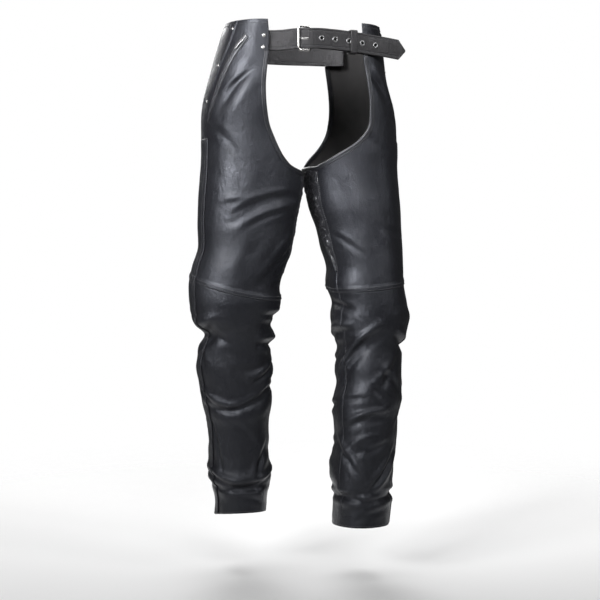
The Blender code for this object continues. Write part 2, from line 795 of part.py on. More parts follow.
def buckle():
    left = Vector((*FREE_BAR, BUCKLE_LEVEL))
    right = Vector((*HINGE_BAR, BUCKLE_LEVEL))
    along = (right - left).normalized()
    half_length = (right - left).length / 2.0
    middle = (left + right) / 2.0
    corner = 4.0
    route = []
    for across, high, turn in ((1, 1, 0), (-1, 1, 90), (-1, -1, 180), (1, -1, 270)):
        for degrees in (0, 30, 60, 90):
            angle = math.radians(turn + degrees)
            x = across * (half_length - corner) + corner * math.cos(angle)
            z = high * (FRAME_HALF_HEIGHT - corner) + corner * math.sin(angle)
            route.append(middle + along * x + Vector((0.0, 0.0, z)))
    rod("buckle_frame", route, BAR_RADIUS, 6, metal("buckle_frame", 0.75), closed=True)
    reach = BAR_RADIUS + 0.3 + PRONG_RADIUS
    eye = []
    for degrees in (0, 45, 90, 135, 180, 225):
        angle = math.radians(degrees)
        eye.append(right + Vector((math.cos(angle), math.sin(angle), 0.0)) * reach)
    shank = [
        Vector((-15.0, -101.9, BUCKLE_LEVEL)),
        Vector((-21.0, -103.4, BUCKLE_LEVEL)),
        Vector((-27.0, -105.4, BUCKLE_LEVEL)),
        Vector((-33.0, -105.9, BUCKLE_LEVEL)),
        Vector((-35.0, -105.4, BUCKLE_LEVEL)),
    ]
    rod("buckle_prong", eye + shank, PRONG_RADIUS, 6, metal("buckle_prong", 0.7))


def keeper_loop(route):
    # A flat leather loop with soft outer corners, round both straps.
    centre, ahead = place_on(route, KEEPER_X)
    outward = Vector((ahead.y, -ahead.x, 0.0))
    up = Vector((0.0, 0.0, 1.0))
    front = BELT_THICK / 2.0 + KEEPER_ROOM
    rear = -KEEPER_DEPTH
    middle = (front + rear) / 2.0
    half_deep = (front - rear) / 2.0
    half_high = BELT_WIDTH / 2.0 + 0.9
    points = []
    stations = []
    for turn, deep_sign, high_sign in ((0, 1, 1), (90, -1, 1), (180, -1, -1), (270, 1, -1)):
        for degrees in (0, 45, 90):
            angle = math.radians(turn + degrees)
            stations.append((deep_sign, high_sign, math.cos(angle), math.sin(angle)))
    for deep_sign, high_sign, cosine, sine in stations:
        for radius in (0.6, 0.6 + KEEPER_THICK):
            deep = middle + deep_sign * (half_deep - 0.6) + radius * cosine
            high = high_sign * (half_high - 0.6) + radius * sine
            ends = (-0.5, 0.5) if radius < 1.0 else (0.5, -0.5)
            for end in ends:
                points.append(centre + outward * deep + up * high + ahead * (KEEPER_BAND * end))
    return solid("belt_keeper", points, strip_faces(12, 4, closed=True), leather("belt_keeper", 0.024))


def back_band():
    route = route_through(BACK_BAND_PATH, 14.0)
    half_heights = [BACK_BAND_WIDTH / 2.0] * len(route)
    return ribbon("back_band", route, half_heights, BELT_THICK, leather("back_band", 0.024))


def rivet(leg, name, angle, level, height):
    centre = leg.raised(angle, level, LIFT)
    normal = leg.normal(angle, level)
    side = normal.cross(Vector((0.0, 0.0, 1.0))).normalized()
    up = side.cross(normal)
    points = []
    dome = ((1.0, 0.0), (0.86, 0.6), (0.45, 1.0))
    for radius, rise in [(RIVET_RADIUS * across, height * share) for across, share in dome]:
        points += ring(centre + normal * rise, side, up, radius, 10)
    return solid(leg.prefix + name, points, strip_faces(3, 10), metal(leg.prefix + name))


def rivets(leg):
    for i, (angle, level) in enumerate(HIP_RIVETS):
        rivet(leg, "hip_rivet_%d" % (i + 1), angle, level, RIVET_HEIGHT)
    for i, (angle, level) in enumerate(CORNER_RIVETS):
        rivet(leg, "corner_rivet_%d" % (i + 1), leg.front_edge(level) + angle, level, LOW_RIVET_HEIGHT)
    for i, (angle, level) in enumerate(BACK_RIVETS):
        rivet(leg, "back_rivet_%d" % (i + 1), angle, level, LOW_RIVET_HEIGHT)


def zip_frame(leg, share):
    # Place, downward direction, sideways direction and normal at a share of the zip's line.
    line = [(i / (len(ZIP_LINE) - 1), *row) for i, row in enumerate(ZIP_LINE)]
    angle, level = curve_at(line, share)
    ahead_angle, ahead_level = curve_at(line, share + 0.02)
    behind_angle, behind_level = curve_at(line, share - 0.02)
    normal = leg.normal(angle, level)
    down = (leg.point(ahead_angle, ahead_level) - leg.point(behind_angle, behind_level)).normalized()
    across = normal.cross(down).normalized()
    down = across.cross(normal).normalized()
    return leg.point(angle, level), down, across, normal


def zip_tape(leg):
    stations = 14
    points = []
    for i in range(stations):
        place, down, across, normal = zip_frame(leg, i / (stations - 1))
        for side, rise in ((-1, 0.0), (1, 0.0), (1, ZIP_THICK), (-1, ZIP_THICK)):
            points.append(place + across * (side * ZIP_HALF_WIDTH) + normal * (LIFT + 0.2 + rise))
    return solid("pocket_zip_tape", points, strip_faces(stations, 4), leather("pocket_zip_tape", 0.012))


def zip_slider(leg):
    place, down, across, normal = zip_frame(leg, SLIDER_PLACE)
    seat = LIFT + 0.2 + ZIP_THICK + 0.4
    centre = place + normal * (seat + SLIDER_HEIGHT / 2.0)
    points, faces = box_shape(centre, down, across, normal, (SLIDER_LENGTH, SLIDER_WIDTH, SLIDER_HEIGHT))
    slider = solid("pocket_zip_slider", points, faces, metal("pocket_zip_slider", 0.5))
    deck = place + normal * (seat + SLIDER_HEIGHT)
    high = PIVOT_HEIGHT + PULL_BAR_RADIUS + 0.6
    inner = BAIL_HALF_LENGTH - BAIL_THICK
    outline = (
        (-BAIL_HALF_LENGTH, -0.8),
        (-BAIL_HALF_LENGTH, high),
        (-BAIL_HALF_LENGTH + 0.7, high + BAIL_THICK),
        (BAIL_HALF_LENGTH - 0.7, high + BAIL_THICK),
        (BAIL_HALF_LENGTH, high),
        (BAIL_HALF_LENGTH, -0.8),
        (inner, -0.8),
        (inner, high),
        (-inner, high),
        (-inner, -0.8),
    )
    arch = []
    for side in (-0.5, 0.5):
        for along, rise in outline:
            arch.append(deck + down * along + normal * rise + across * (BAIL_WIDTH * side))
    join(slider, "pocket_zip_bail", arch, strip_faces(2, len(outline)))
    return deck + normal * PIVOT_HEIGHT, down, across, normal


def zip_pull(pivot, down, across, normal):
    # A flat tab with a window at its root. It turns about its round top bar.
    hinge = bpy.data.objects.new("pocket_zip_pull_hinge", None)
    bpy.context.collection.objects.link(hinge)
    hinge.location = pivot * MM
    half_thick = PULL_BAR_RADIUS
    window = PULL_WIDTH / 2.0 - PULL_ARM
    far = PULL_LENGTH
    outline = (
        (-half_thick, PULL_WIDTH / 2.0),
        (far - 2.0, PULL_WIDTH / 2.0 - 0.4),
        (far, PULL_WIDTH / 2.0 - 1.4),
        (far, -PULL_WIDTH / 2.0 + 1.4),
        (far - 2.0, -PULL_WIDTH / 2.0 + 0.4),
        (-half_thick, -PULL_WIDTH / 2.0),
    )
    points = []
    for rise in (-half_thick, half_thick):
        for along, side in outline:
            points.append(down * along + across * side + normal * rise)
    finish = metal("pocket_zip_pull", 0.45)
    pull = solid("pocket_zip_pull", points, strip_faces(2, len(outline)), finish, hinge)
    middle = (half_thick + PULL_WINDOW_END) / 2.0
    shape = box_shape(down * middle, down, across, normal, (PULL_WINDOW_END - half_thick, 2.0 * window, 4.0))
    cut(pull, "pocket_zip_pull_window", *shape)
    pull.modifiers[-1].object.parent = hinge


def build():
    clear_scene()
    right = Leg("r_", -1.0, RIGHT_SECTIONS, RIGHT_OPENING, RIGHT_FOLDS, (14.0, 16.0), -834.0, 11.0)
    left = Leg("l_", 1.0, LEFT_SECTIONS, LEFT_OPENING, LEFT_FOLDS, (4.0, 8.0), -848.0, 4.0)
    for leg in (right, left):
        thigh_panels(leg)
        shin_panels(leg)
        stretch_gusset(leg)
        side_flap(leg)
        edge_binding(leg)
        rivets(leg)
    tongue_route = belt_tongue()
    buckle_strap()
    buckle()
    keeper_loop(tongue_route)
    back_band()
    zip_tape(right)
    zip_pull(*zip_slider(right))


build()
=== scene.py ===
# Worn leather chaps: two legs on a belt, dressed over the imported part.
# Lengths in the tables are millimetres. A leg's skin is named by an angle round the leg
# (0 front, 90 outer side, 180 back, 270 inner side) and a level up from the belt.
import math

import bmesh
import bpy
import numpy as np
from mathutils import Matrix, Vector


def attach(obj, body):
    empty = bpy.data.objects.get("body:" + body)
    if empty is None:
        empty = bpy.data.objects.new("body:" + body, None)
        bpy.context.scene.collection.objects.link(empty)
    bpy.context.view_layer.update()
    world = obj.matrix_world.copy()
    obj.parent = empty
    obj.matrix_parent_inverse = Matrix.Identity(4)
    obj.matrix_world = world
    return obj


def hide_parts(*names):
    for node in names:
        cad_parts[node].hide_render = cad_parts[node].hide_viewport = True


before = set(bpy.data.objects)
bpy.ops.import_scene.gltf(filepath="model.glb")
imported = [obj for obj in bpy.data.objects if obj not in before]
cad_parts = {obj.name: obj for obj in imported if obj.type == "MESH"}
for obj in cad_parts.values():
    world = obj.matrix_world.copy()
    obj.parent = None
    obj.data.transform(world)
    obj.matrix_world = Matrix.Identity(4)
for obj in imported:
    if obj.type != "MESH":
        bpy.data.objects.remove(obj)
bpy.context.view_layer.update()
mm = 0.001
up = np.array((0.0, 0.0, 1.0))

rightLeg = {
    "prefix": "r_", "side": -1.0, "kneeTilt": (14.0, 16.0), "hem": -834.0, "hemLift": 11.0, "seed": 3,
    # level, axis distance from the middle, axis depth, radii: outer, inner, front, back
    "sections": [
        (38, 80, 0, 54, 60, 88, 84), (0, 80, 0, 66, 60, 90, 88), (-58, 84, 0, 79, 70, 96, 100),
        (-111, 87, 2, 87, 80, 98, 112), (-165, 87, 4, 88, 84, 96, 114), (-218, 88, 2, 89, 88, 92, 104),
        (-250, 90, 0, 90, 89, 89, 98), (-314, 98, -2, 85, 83, 86, 90), (-356, 101, -3, 83, 80, 84, 86),
        (-389, 111, -4, 83, 77, 82, 83), (-421, 118, -5, 82, 75, 80, 80), (-453, 118, -5, 82, 77, 80, 78),
        (-485, 119, -2, 73, 63, 74, 72), (-507, 115, 2, 55, 65, 68, 68), (-528, 115, 6, 65, 58, 65, 68),
        (-560, 115, 10, 71, 63, 66, 70), (-593, 114, 14, 66, 59, 66, 70), (-625, 109, 17, 66, 58, 64, 70),
        (-658, 106, 20, 60, 52, 62, 68), (-690, 104, 22, 58, 49, 60, 66), (-723, 103, 24, 57, 46, 60, 64),
        (-766, 100, 26, 59, 50, 62, 66), (-799, 99, 27, 51, 42, 58, 60), (-850, 100, 28, 51, 40, 58, 60)],
    # level, angle of the opening's front edge, angle of its back edge
    "opening": [
        (36, 1, 186), (8, 0, 185), (-24, 1, 183), (-46, 2, 181), (-72, 2.5, 179), (-97, 1.5, 178),
        (-122, -0.5, 179), (-146, -3.5, 183), (-165, -8.5, 189), (-184, -14.5, 198), (-197, -20, 207),
        (-206, -26, 215), (-213, -32, 223), (-218.5, -45, 230), (-222, -62, 236)],
    # folds: start angle and level, end angle and level, sag, half-width, rise
    "folds": [
        (16, -44, 50, -116, 2, 9, -3.0), (8, -62, 38, -132, 2, 10, 1.8), (46, -272, 20, -268, 2, 6, 1.6),
        (28, -308, -48, -266, 10, 8, -2.6), (26, -322, -40, -282, 10, 9, 1.8),
        (-20, -410, -76, -340, 6, 9, -2.6), (-14, -396, -60, -334, 6, 9, 2.0),
        (85, -488, 40, -480, 4, 9, 3.0), (47, -496, 92, -540, -4, 8, -3.0),
        (-30, -486, -100, -490, -4, 9, -3.0), (-20, -530, -50, -538, 3, 9, 3.0),
        (-76, -566, -16, -586, -4, 8, 3.0), (-70, -548, 10, -566, -5, 8, -2.4),
        (80, -616, 14, -633, -6, 7, 3.4), (76, -632, -52, -606, -16, 6, -3.8),
        (70, -650, -50, -628, -14, 9, 2.0), (-54, -716, 18, -760, -6, 9, 3.0),
        (-100, -706, -40, -716, 0, 9, -2.6), (110, -755, -60, -752, -8, 9, 3.4),
        (110, -775, -64, -772, -8, 6, -4.4), (110, -480, 240, -500, 8, 10, -4.0),
        (120, -462, 230, -470, 6, 12, 3.4), (130, -520, 250, -512, -8, 10, 3.6),
        (100, -552, 220, -566, 8, 10, -3.2), (140, -596, 270, -580, 8, 11, 3.2),
        (110, -620, 240, -640, -8, 9, -3.6), (120, -664, 260, -652, 8, 10, 3.0),
        (105, -700, 230, -712, -6, 9, -3.2), (120, -770, 280, -758, 6, 9, -3.6),
        (110, -748, 262, -738, 6, 10, 3.0), (120, -300, 200, -330, 8, 12, -2.4),
        (150, -372, 240, -352, -8, 12, 2.4)],
    # finer creases of worn leather: start angle and level, end angle and level, sag, width, depth
    "creases": [
        (12, -50, 44, -104, 5, 5, 1.2), (20, -60, 50, -96, 3, 4, 0.7), (60, -150, 30, -190, 5, 7, 1.1),
        (30, -296, -36, -262, 8, 5, 2.0), (10, -316, -34, -290, 4, 5, 1.5),
        (-28, -372, -60, -332, 4, 5, 1.7), (-34, -404, -68, -368, 3, 5, 1.4),
        (90, -504, 40, -482, -5, 6, 3.4), (66, -466, 88, -482, 2, 5, 1.2),
        (-26, -470, -84, -478, 3, 5, 3.0), (-22, -522, -86, -529, 4, 6, 4.6),
        (-8, -590, -76, -552, -3, 6, 3.8), (-24, -609, -82, -602, 3, 5, 2.4),
        (88, -604, 22, -638, -7, 6, 3.6), (27, -639, -58, -594, -3, 5, 3.0),
        (72, -662, 48, -746, 3, 5, 1.5), (20, -664, -10, -700, 3, 6, 0.8), (-38, -702, -8, -764, 5, 6, 2.4),
        (104, -754, 24, -778, 4, 6, 4.4), (30, -778, -76, -750, -6, 6, 4.2),
        (26, -792, -26, -808, 3, 5, 1.2), (84, -522, 62, -566, 2, 6, 1.0), (30, -552, -4, -598, 3, 6, 0.9),
        (48, -500, 20, -520, -3, 6, 0.9), (100, -472, 150, -488, 4, 5, 2.2),
        (150, -478, 215, -470, -4, 5, 2.4), (112, -506, 190, -514, 5, 5, 2.6),
        (190, -500, 262, -518, -4, 5, 2.4), (104, -544, 160, -560, 4, 5, 2.1),
        (170, -562, 256, -548, -5, 5, 2.6), (112, -606, 200, -620, 6, 5, 2.6),
        (195, -644, 275, -628, -4, 5, 2.2), (108, -690, 176, -684, 5, 5, 2.0),
        (170, -718, 256, -704, 5, 5, 2.2), (110, -760, 210, -772, 4, 6, 3.2),
        (205, -796, 280, -784, 3, 5, 2.0), (196, -250, 150, -310, 6, 7, 1.4),
        (214, -300, 170, -352, 5, 6, 1.4), (176, -110, 130, -160, 5, 7, 1.0),
        (120, -396, 190, -412, -4, 6, 1.5), (34, -180, 26, -262, 5, 12, 1.2),
        (-2, -330, 6, -396, 4, 11, 1.2)]}
leftLeg = {
    "prefix": "l_", "side": 1.0, "kneeTilt": (4.0, 8.0), "hem": -848.0, "hemLift": 4.0, "seed": 8,
    "sections": [
        (38, 80, 0, 59, 60, 88, 84), (0, 80, 0, 65, 60, 90, 88), (-58, 84, 0, 69, 70, 96, 100),
        (-111, 87, 1, 83, 80, 98, 112), (-165, 89, 1, 87, 84, 96, 114), (-218, 93, 0, 83, 81, 92, 104),
        (-250, 97, -2, 82, 82, 89, 98), (-281, 100, -4, 81, 80, 88, 94), (-314, 105, -6, 77, 73, 86, 90),
        (-356, 111, -10, 73, 69, 84, 86), (-389, 116, -14, 68, 66, 82, 83),
        (-421, 116, -18, 68, 68, 80, 80), (-453, 120, -21, 68, 61, 80, 78),
        (-485, 121, -24, 70, 66, 76, 74), (-507, 120, -26, 66, 62, 72, 70),
        (-528, 119, -27, 59, 53, 68, 68), (-560, 117, -30, 60, 54, 67, 69),
        (-593, 115, -34, 59, 51, 66, 68), (-625, 112, -38, 61, 57, 64, 68),
        (-658, 108, -41, 58, 54, 62, 67), (-690, 107, -44, 57, 51, 61, 66),
        (-723, 103, -47, 56, 53, 60, 65), (-761, 98, -50, 56, 53, 60, 64), (-799, 97, -53, 53, 46, 58, 60),
        (-850, 95, -56, 50, 47, 58, 60)],
    "opening": [
        (36, 4, 186), (8, 5, 185), (-24, 5, 183), (-46, 6, 181), (-72, 7, 179), (-97, 8, 178),
        (-122, 7.5, 179), (-146, 5.5, 182), (-165, -3, 188), (-180, -15, 196), (-191, -27, 205),
        (-200, -38, 214), (-206, -47, 222), (-210, -55, 229), (-213, -62, 236)],
    "folds": [
        (10, -46, 32, -106, 2, 9, -2.6), (20, -44, 44, -96, 2, 9, 1.6), (-8, -492, -80, -588, 6, 8, 4.0),
        (4, -508, -66, -592, 6, 8, -3.2), (16, -560, -6, -588, 0, 7, 2.8), (30, -560, 4, -600, 0, 8, -2.4),
        (-48, -658, 12, -640, 4, 7, 3.0), (-50, -672, 20, -656, 4, 7, -2.8),
        (-48, -708, 2, -683, 6, 7, 2.8), (-40, -722, 14, -700, 4, 7, -2.4),
        (-76, -694, -6, -776, 4, 7, 3.2), (64, -714, -2, -784, -4, 7, 3.2),
        (-30, -690, 10, -736, 0, 12, -1.8), (-74, -789, 78, -787, 4, 6, -5.0),
        (-70, -803, 78, -802, 4, 8, 2.6), (40, -520, 90, -532, 0, 8, -3.0),
        (-100, -506, -50, -512, 0, 8, -3.0), (30, -470, 80, -480, 2, 10, 2.4),
        (110, -478, 240, -496, 8, 10, -4.0), (120, -460, 230, -470, 6, 12, 3.2),
        (130, -520, 250, -514, -8, 10, 3.4), (100, -556, 220, -566, 8, 10, -3.2),
        (140, -596, 270, -582, 8, 11, 3.0), (110, -622, 240, -640, -8, 9, -3.4),
        (120, -664, 260, -650, 8, 10, 3.0), (105, -704, 230, -712, -6, 9, -3.2),
        (110, -748, 262, -740, 6, 10, 3.0), (100, -786, 280, -780, 6, 8, -4.0),
        (120, -310, 200, -336, 8, 12, -2.2), (150, -374, 240, -356, -8, 12, 2.2)],
    "creases": [
        (8, -50, 34, -96, 3, 5, 1.1), (28, -118, 60, -150, 3, 6, 0.9), (-10, -150, 30, -200, 5, 7, 0.8),
        (60, -332, 10, -318, -3, 6, 1.0), (-20, -362, -54, -330, 3, 5, 1.2),
        (-40, -463, -98, -452, 2, 6, 3.2), (-44, -500, -108, -513, 3, 6, 4.6),
        (-6, -504, -82, -592, 6, 6, 3.6), (100, -536, 26, -510, -5, 7, 3.6), (0, -570, 44, -608, 4, 6, 2.2),
        (-8, -596, 16, -624, 0, 6, 1.5), (-42, -665, 14, -647, 5, 5, 2.4),
        (-22, -618, -64, -628, 3, 5, 1.4), (-14, -718, 26, -699, 3, 6, 1.3),
        (-74, -702, -7, -772, 5, 6, 3.2), (46, -714, -3, -778, -4, 6, 3.2), (78, -650, 44, -676, 2, 6, 1.3),
        (70, -742, 40, -766, 2, 5, 1.3), (-96, -795, -4, -799, 4, 6, 4.0), (-10, -799, 92, -793, 3, 6, 4.6),
        (30, -816, -24, -830, 3, 5, 1.2), (-54, -540, -90, -560, 2, 5, 1.5),
        (84, -600, 60, -632, 3, 6, 1.4), (30, -470, 62, -482, 2, 6, 1.0), (100, -474, 150, -488, 4, 5, 2.2),
        (150, -470, 215, -474, -4, 5, 2.4), (112, -506, 190, -516, 5, 5, 2.4),
        (186, -502, 262, -518, -4, 5, 2.4), (104, -546, 160, -560, 4, 5, 2.1),
        (170, -564, 256, -552, -5, 5, 2.4), (112, -610, 200, -622, 6, 5, 2.4),
        (195, -644, 275, -630, -4, 5, 2.2), (108, -692, 176, -686, 5, 5, 2.0),
        (170, -720, 256, -706, 5, 5, 2.0), (112, -772, 210, -780, 4, 6, 3.0),
        (205, -802, 280, -795, 3, 5, 2.2), (196, -250, 150, -306, 6, 7, 1.3),
        (212, -300, 172, -350, 5, 6, 1.3), (176, -112, 132, -160, 5, 7, 1.0),
        (118, -402, 192, -392, 4, 6, 1.5), (-34, -236, -22, -356, 6, 11, 1.5),
        (16, -196, 24, -306, -6, 13, 1.5), (-6, -300, 2, -392, 5, 12, 1.3)]}
seams = {
    "knee": -425.0, "top": 36.0, "inseam": -62.0, "sideSeam": 90.0, "gap": 0.02, "wall": 1.9,
    "gussetTip": -389.0, "gussetBack": 236.0, "gussetBow": 0.85, "tipWidth": 3.0,
    "kneeReach": 60.0, "hemReach": 70.0, "topDip": (1.5, 3.0),
    "arcPerDegree": 1.4, "roundness": 2.15}
wear = {
    "foldEnds": 0.55, "foldFade": 14.0, "valley": 1.4, "creaseEnds": 0.12, "creaseFade": 7.0,
    "shinDepth": 0.25, "beltCalm": 0.9, "thighShare": 0.55, "kneeWelt": 1.25, "hipLap": 1.4,
    "rolls": ((0.8, 1.7, 1.1), (0.25, -1.9, 0.9)),  # beside a crease: height, place, width
    # unevenness between the creases: height, size of its cells, stretch round the leg
    "slack": (1.5, 52.0, 1.3), "rumple": (0.5, 19.0, 1.5), "pebble": (0.1, 7.0, 1.0)}


def ease(low, high, value):
    share = np.clip((value - low) / (high - low), 0.0, 1.0)
    return share * share * (3.0 - 2.0 * share)


def unit(vectors):
    return vectors / np.linalg.norm(vectors, axis=-1, keepdims=True)


def lengthsAlong(points, axis=0):
    # how far each point lies along its line, from the line's start
    steps = np.linalg.norm(np.diff(points, axis=axis), axis=-1)
    return np.insert(np.cumsum(steps, axis=axis), 0, 0.0, axis=axis)


def curveThrough(rows, places):
    # smooth curve through a table whose first column rises, read at many places at once
    table = np.array(sorted(map(tuple, rows)), float)
    keys, values = table[:, 0], table[:, 1:]
    slopes = np.gradient(values, keys, axis=0)
    places = np.clip(np.asarray(places, float), keys[0], keys[-1])
    i = np.clip(np.searchsorted(keys, places) - 1, 0, len(keys) - 2)
    span = (keys[i + 1] - keys[i])[..., None]
    t = (places[..., None] - keys[i][..., None]) / span
    start = (1 + 2 * t) * (1 - t) ** 2 * values[i] + t * (1 - t) ** 2 * span * slopes[i]
    end = t * t * (3 - 2 * t) * values[i + 1] + t * t * (t - 1) * span * slopes[i + 1]
    return start + end


def alongFold(angle, level, first, firstLevel, last, lastLevel, sag):
    # each point's share of the way along a fold, how far it lies past the ends, and how far from the line
    middle = (first + last) / 2.0
    here = (angle - middle + 180.0) % 360.0 - 180.0 + middle
    across = (last - first) * seams["arcPerDegree"]
    down = lastLevel - firstLevel
    length = math.hypot(across, down)
    x = (here - first) * seams["arcPerDegree"]
    y = level - firstLevel
    t = (x * across + y * down) / length ** 2
    held = np.clip(t, 0.0, 1.0)
    beyond = np.maximum(0.0, np.maximum(-t, t - 1.0)) * length
    offset = (y * across - x * down) / length * (1.0 if across >= 0 else -1.0)
    return held, beyond, offset - 4.0 * sag * held * (1.0 - held)


def foldRise(leg, angle, level):
    rise = np.zeros_like(angle)
    for *line, halfWidth, height in leg["folds"]:
        held, beyond, offset = alongFold(angle, level, *line)
        ends = wear["foldEnds"] + (1.0 - wear["foldEnds"]) * np.sin(math.pi * held)
        rise += height * ends * np.exp(-((offset / halfWidth) ** 2) - (beyond / wear["foldFade"]) ** 2)
    return rise


def leatherNoise(leg, angle, level, size, stretch=1.0):
    # smooth value noise on the unrolled skin, the same at 0 and 360 degrees
    top, tall = 60.0, 1000.0
    columns = max(8, int(round(360.0 * seams["arcPerDegree"] / (size * stretch))))
    rows = int(tall / size) + 4
    values = np.random.default_rng(leg["seed"] * 97 + int(size * 10)).uniform(-1.0, 1.0, (rows, columns))
    u = (angle % 360.0) / 360.0 * columns
    v = np.clip((top - level) / size, 0.0, rows - 2.001)
    i, j = np.floor(v).astype(int), np.floor(u).astype(int)
    fv, fu = v - i, u - j
    fv, fu = fv * fv * (3 - 2 * fv), fu * fu * (3 - 2 * fu)
    j, k = j % columns, (j + 1) % columns
    low = values[i, j] * (1 - fu) + values[i, k] * fu
    high = values[i + 1, j] * (1 - fu) + values[i + 1, k] * fu
    return low * (1 - fv) + high * fv


def kneeTurn(leg, angle):
    # the knee seam's height over its own level, round the leg
    fore, out = leg["kneeTilt"]
    return out * np.sin(np.radians(angle)) - fore * np.cos(np.radians(angle))


def seamLevel(leg, angle, level):
    # the knee seam, the top edge and the hem are not level all round the leg
    fore = np.cos(np.radians(angle))
    nearKnee = np.exp(-(((level - seams["knee"]) / seams["kneeReach"]) ** 2))
    nearTop = ease(-30.0, seams["top"], level)
    nearHem = 1.0 - ease(leg["hem"], leg["hem"] + seams["hemReach"], level)
    middle, dip = seams["topDip"]
    level = level + nearKnee * kneeTurn(leg, angle)
    return level + nearTop * (middle - dip * fore) + nearHem * leg["hemLift"] * fore


def lapEdge(level):
    # angle of the edge where the back laps over the front at the hip
    return np.interp(level, (-101.0, -41.0, 22.0, 40.0), (74.0, 60.5, 44.5, 40.0))


def creaseRise(leg, angle, level):
    # pinched valleys, each with a full roll above it and a slight one below
    rise = np.zeros_like(angle)
    for *line, width, depth in leg["creases"]:
        held, beyond, offset = alongFold(angle, level, *line)
        offset = offset / width
        ends = wear["creaseEnds"] + (1.0 - 2.0 * wear["creaseEnds"]) * held
        fade = np.sin(math.pi * ends) * np.exp(-(beyond / wear["creaseFade"]) ** 2)
        shape = -np.exp(-np.abs(offset) ** wear["valley"])
        for height, place, reach in wear["rolls"]:
            shape = shape + height * np.exp(-((offset - place) / reach) ** 2)
        rise += depth * (1.0 + wear["shinDepth"] * ease(-430.0, -480.0, line[1])) * fade * shape
    calm = 1.0 - wear["beltCalm"] * ease(-46.0, -8.0, level)
    lower = wear["thighShare"] + (1.0 - wear["thighShare"]) * ease(-380.0, -470.0, level)
    for name, share in (("slack", lower), ("rumple", lower), ("pebble", 1.0)):
        height, size, stretch = wear[name]
        rise += calm * height * share * leatherNoise(leg, angle, level, size, stretch)
    # the knee seam's allowance is turned up inside and stitched flat, so a low band stands above the seam
    over = level - seams["knee"] - kneeTurn(leg, angle)
    rise += wear["kneeWelt"] * ease(-0.5, 0.8, over) * ease(11.0, 7.5, over)
    # at the hip the back's edge laps over the front, just before the rivets
    turned = (angle + 90.0) % 360.0 - 90.0
    past = (turned - lapEdge(level)) * seams["arcPerDegree"]
    rise += wear["hipLap"] * ease(-0.9, 0.9, past) * ease(-112.0, -70.0, level) * ease(114.0, 88.0, turned)
    return rise


def skin(leg, angle, level, plain=False):
    # points of a leg's outer skin, in millimetres; a plain skin has folds but no finer creases
    angle, level = np.broadcast_arrays(np.asarray(angle, float), np.asarray(level, float))
    level = seamLevel(leg, angle, level)
    values = curveThrough(leg["sections"], level)
    axisX, axisY, outer, inner, front, back = (values[..., i] for i in range(6))
    fore, out = np.cos(np.radians(angle)), np.sin(np.radians(angle))
    across = np.where(out > 0, outer, inner)
    deep = np.where(fore > 0, front, back)
    power = seams["roundness"]
    radius = (np.abs(out / across) ** power + np.abs(fore / deep) ** power) ** (-1.0 / power)
    radius = radius + foldRise(leg, angle, level)
    if not plain:
        radius = radius + creaseRise(leg, angle, level)
    return np.stack((leg["side"] * (axisX + radius * out), axisY - radius * fore, level), -1)


def skinNormal(leg, angle, level):
    angle, level = np.broadcast_arrays(np.asarray(angle, float), np.asarray(level, float))
    around = skin(leg, angle + 0.7, level, True) - skin(leg, angle - 0.7, level, True)
    upward = skin(leg, angle, level + 1.0, True) - skin(leg, angle, level - 1.0, True)
    return unit(np.cross(upward, around) * -leg["side"])


def onSkin(leg, angle, level, height=0.1):
    # points at a height over the leather, and the normals there
    normal = skinNormal(leg, angle, level)
    return skin(leg, angle, level) + normal * height, normal


def feed(tree, node, values):
    # each input, by name or number, takes a value or a link from another node's output
    for key, value in values.items():
        if isinstance(value, bpy.types.NodeSocket):
            tree.links.new(value, node.inputs[key])
        else:
            node.inputs[key].default_value = value
    return node.outputs


def add(tree, kind, values=None, **settings):
    node = tree.nodes.new("ShaderNode" + kind)
    for key, value in settings.items():
        setattr(node, key, value)
    return feed(tree, node, values or {})


def blendTones(tree, share, first, second):
    return add(tree, "Mix", {0: share, 6: first, 7: second}, data_type="RGBA")[2]


def reckon(tree, operation, *values):
    return add(tree, "Math", dict(enumerate(values)), operation=operation)[0]


def scaled(tree, place, scale):
    return add(tree, "VectorMath", {0: place, 1: scale}, operation="MULTIPLY")[0]


def noise(tree, place, scale, detail, roughness=0.5, distortion=0.0):
    return add(tree, "TexNoise", {
        "Vector": place, "Scale": scale, "Detail": detail, "Roughness": roughness, "Distortion": distortion})


def remap(tree, value, low, high, toLow=0.0, toHigh=1.0, steps="LINEAR"):
    values = {"Value": value, "From Min": low, "From Max": high, "To Min": toLow, "To Max": toHigh}
    return add(tree, "MapRange", values, interpolation_type=steps)[0]


def bumped(tree, height, depth, strength=1.0, **under):
    return add(tree, "Bump", {"Strength": strength, "Distance": depth * mm, "Height": height, **under})[0]


def shaderGroup(name, inputs, outputs):
    # a node group with named sockets
    tree = bpy.data.node_groups.new(name, "ShaderNodeTree")
    for label, value in inputs.items():
        tree.interface.new_socket(label, in_out="INPUT", socket_type="NodeSocketFloat").default_value = value
    for label in outputs:
        tree.interface.new_socket(label, in_out="OUTPUT", socket_type="NodeSocketFloat")
    return tree, tree.nodes.new("NodeGroupInput").outputs, tree.nodes.new("NodeGroupOutput")


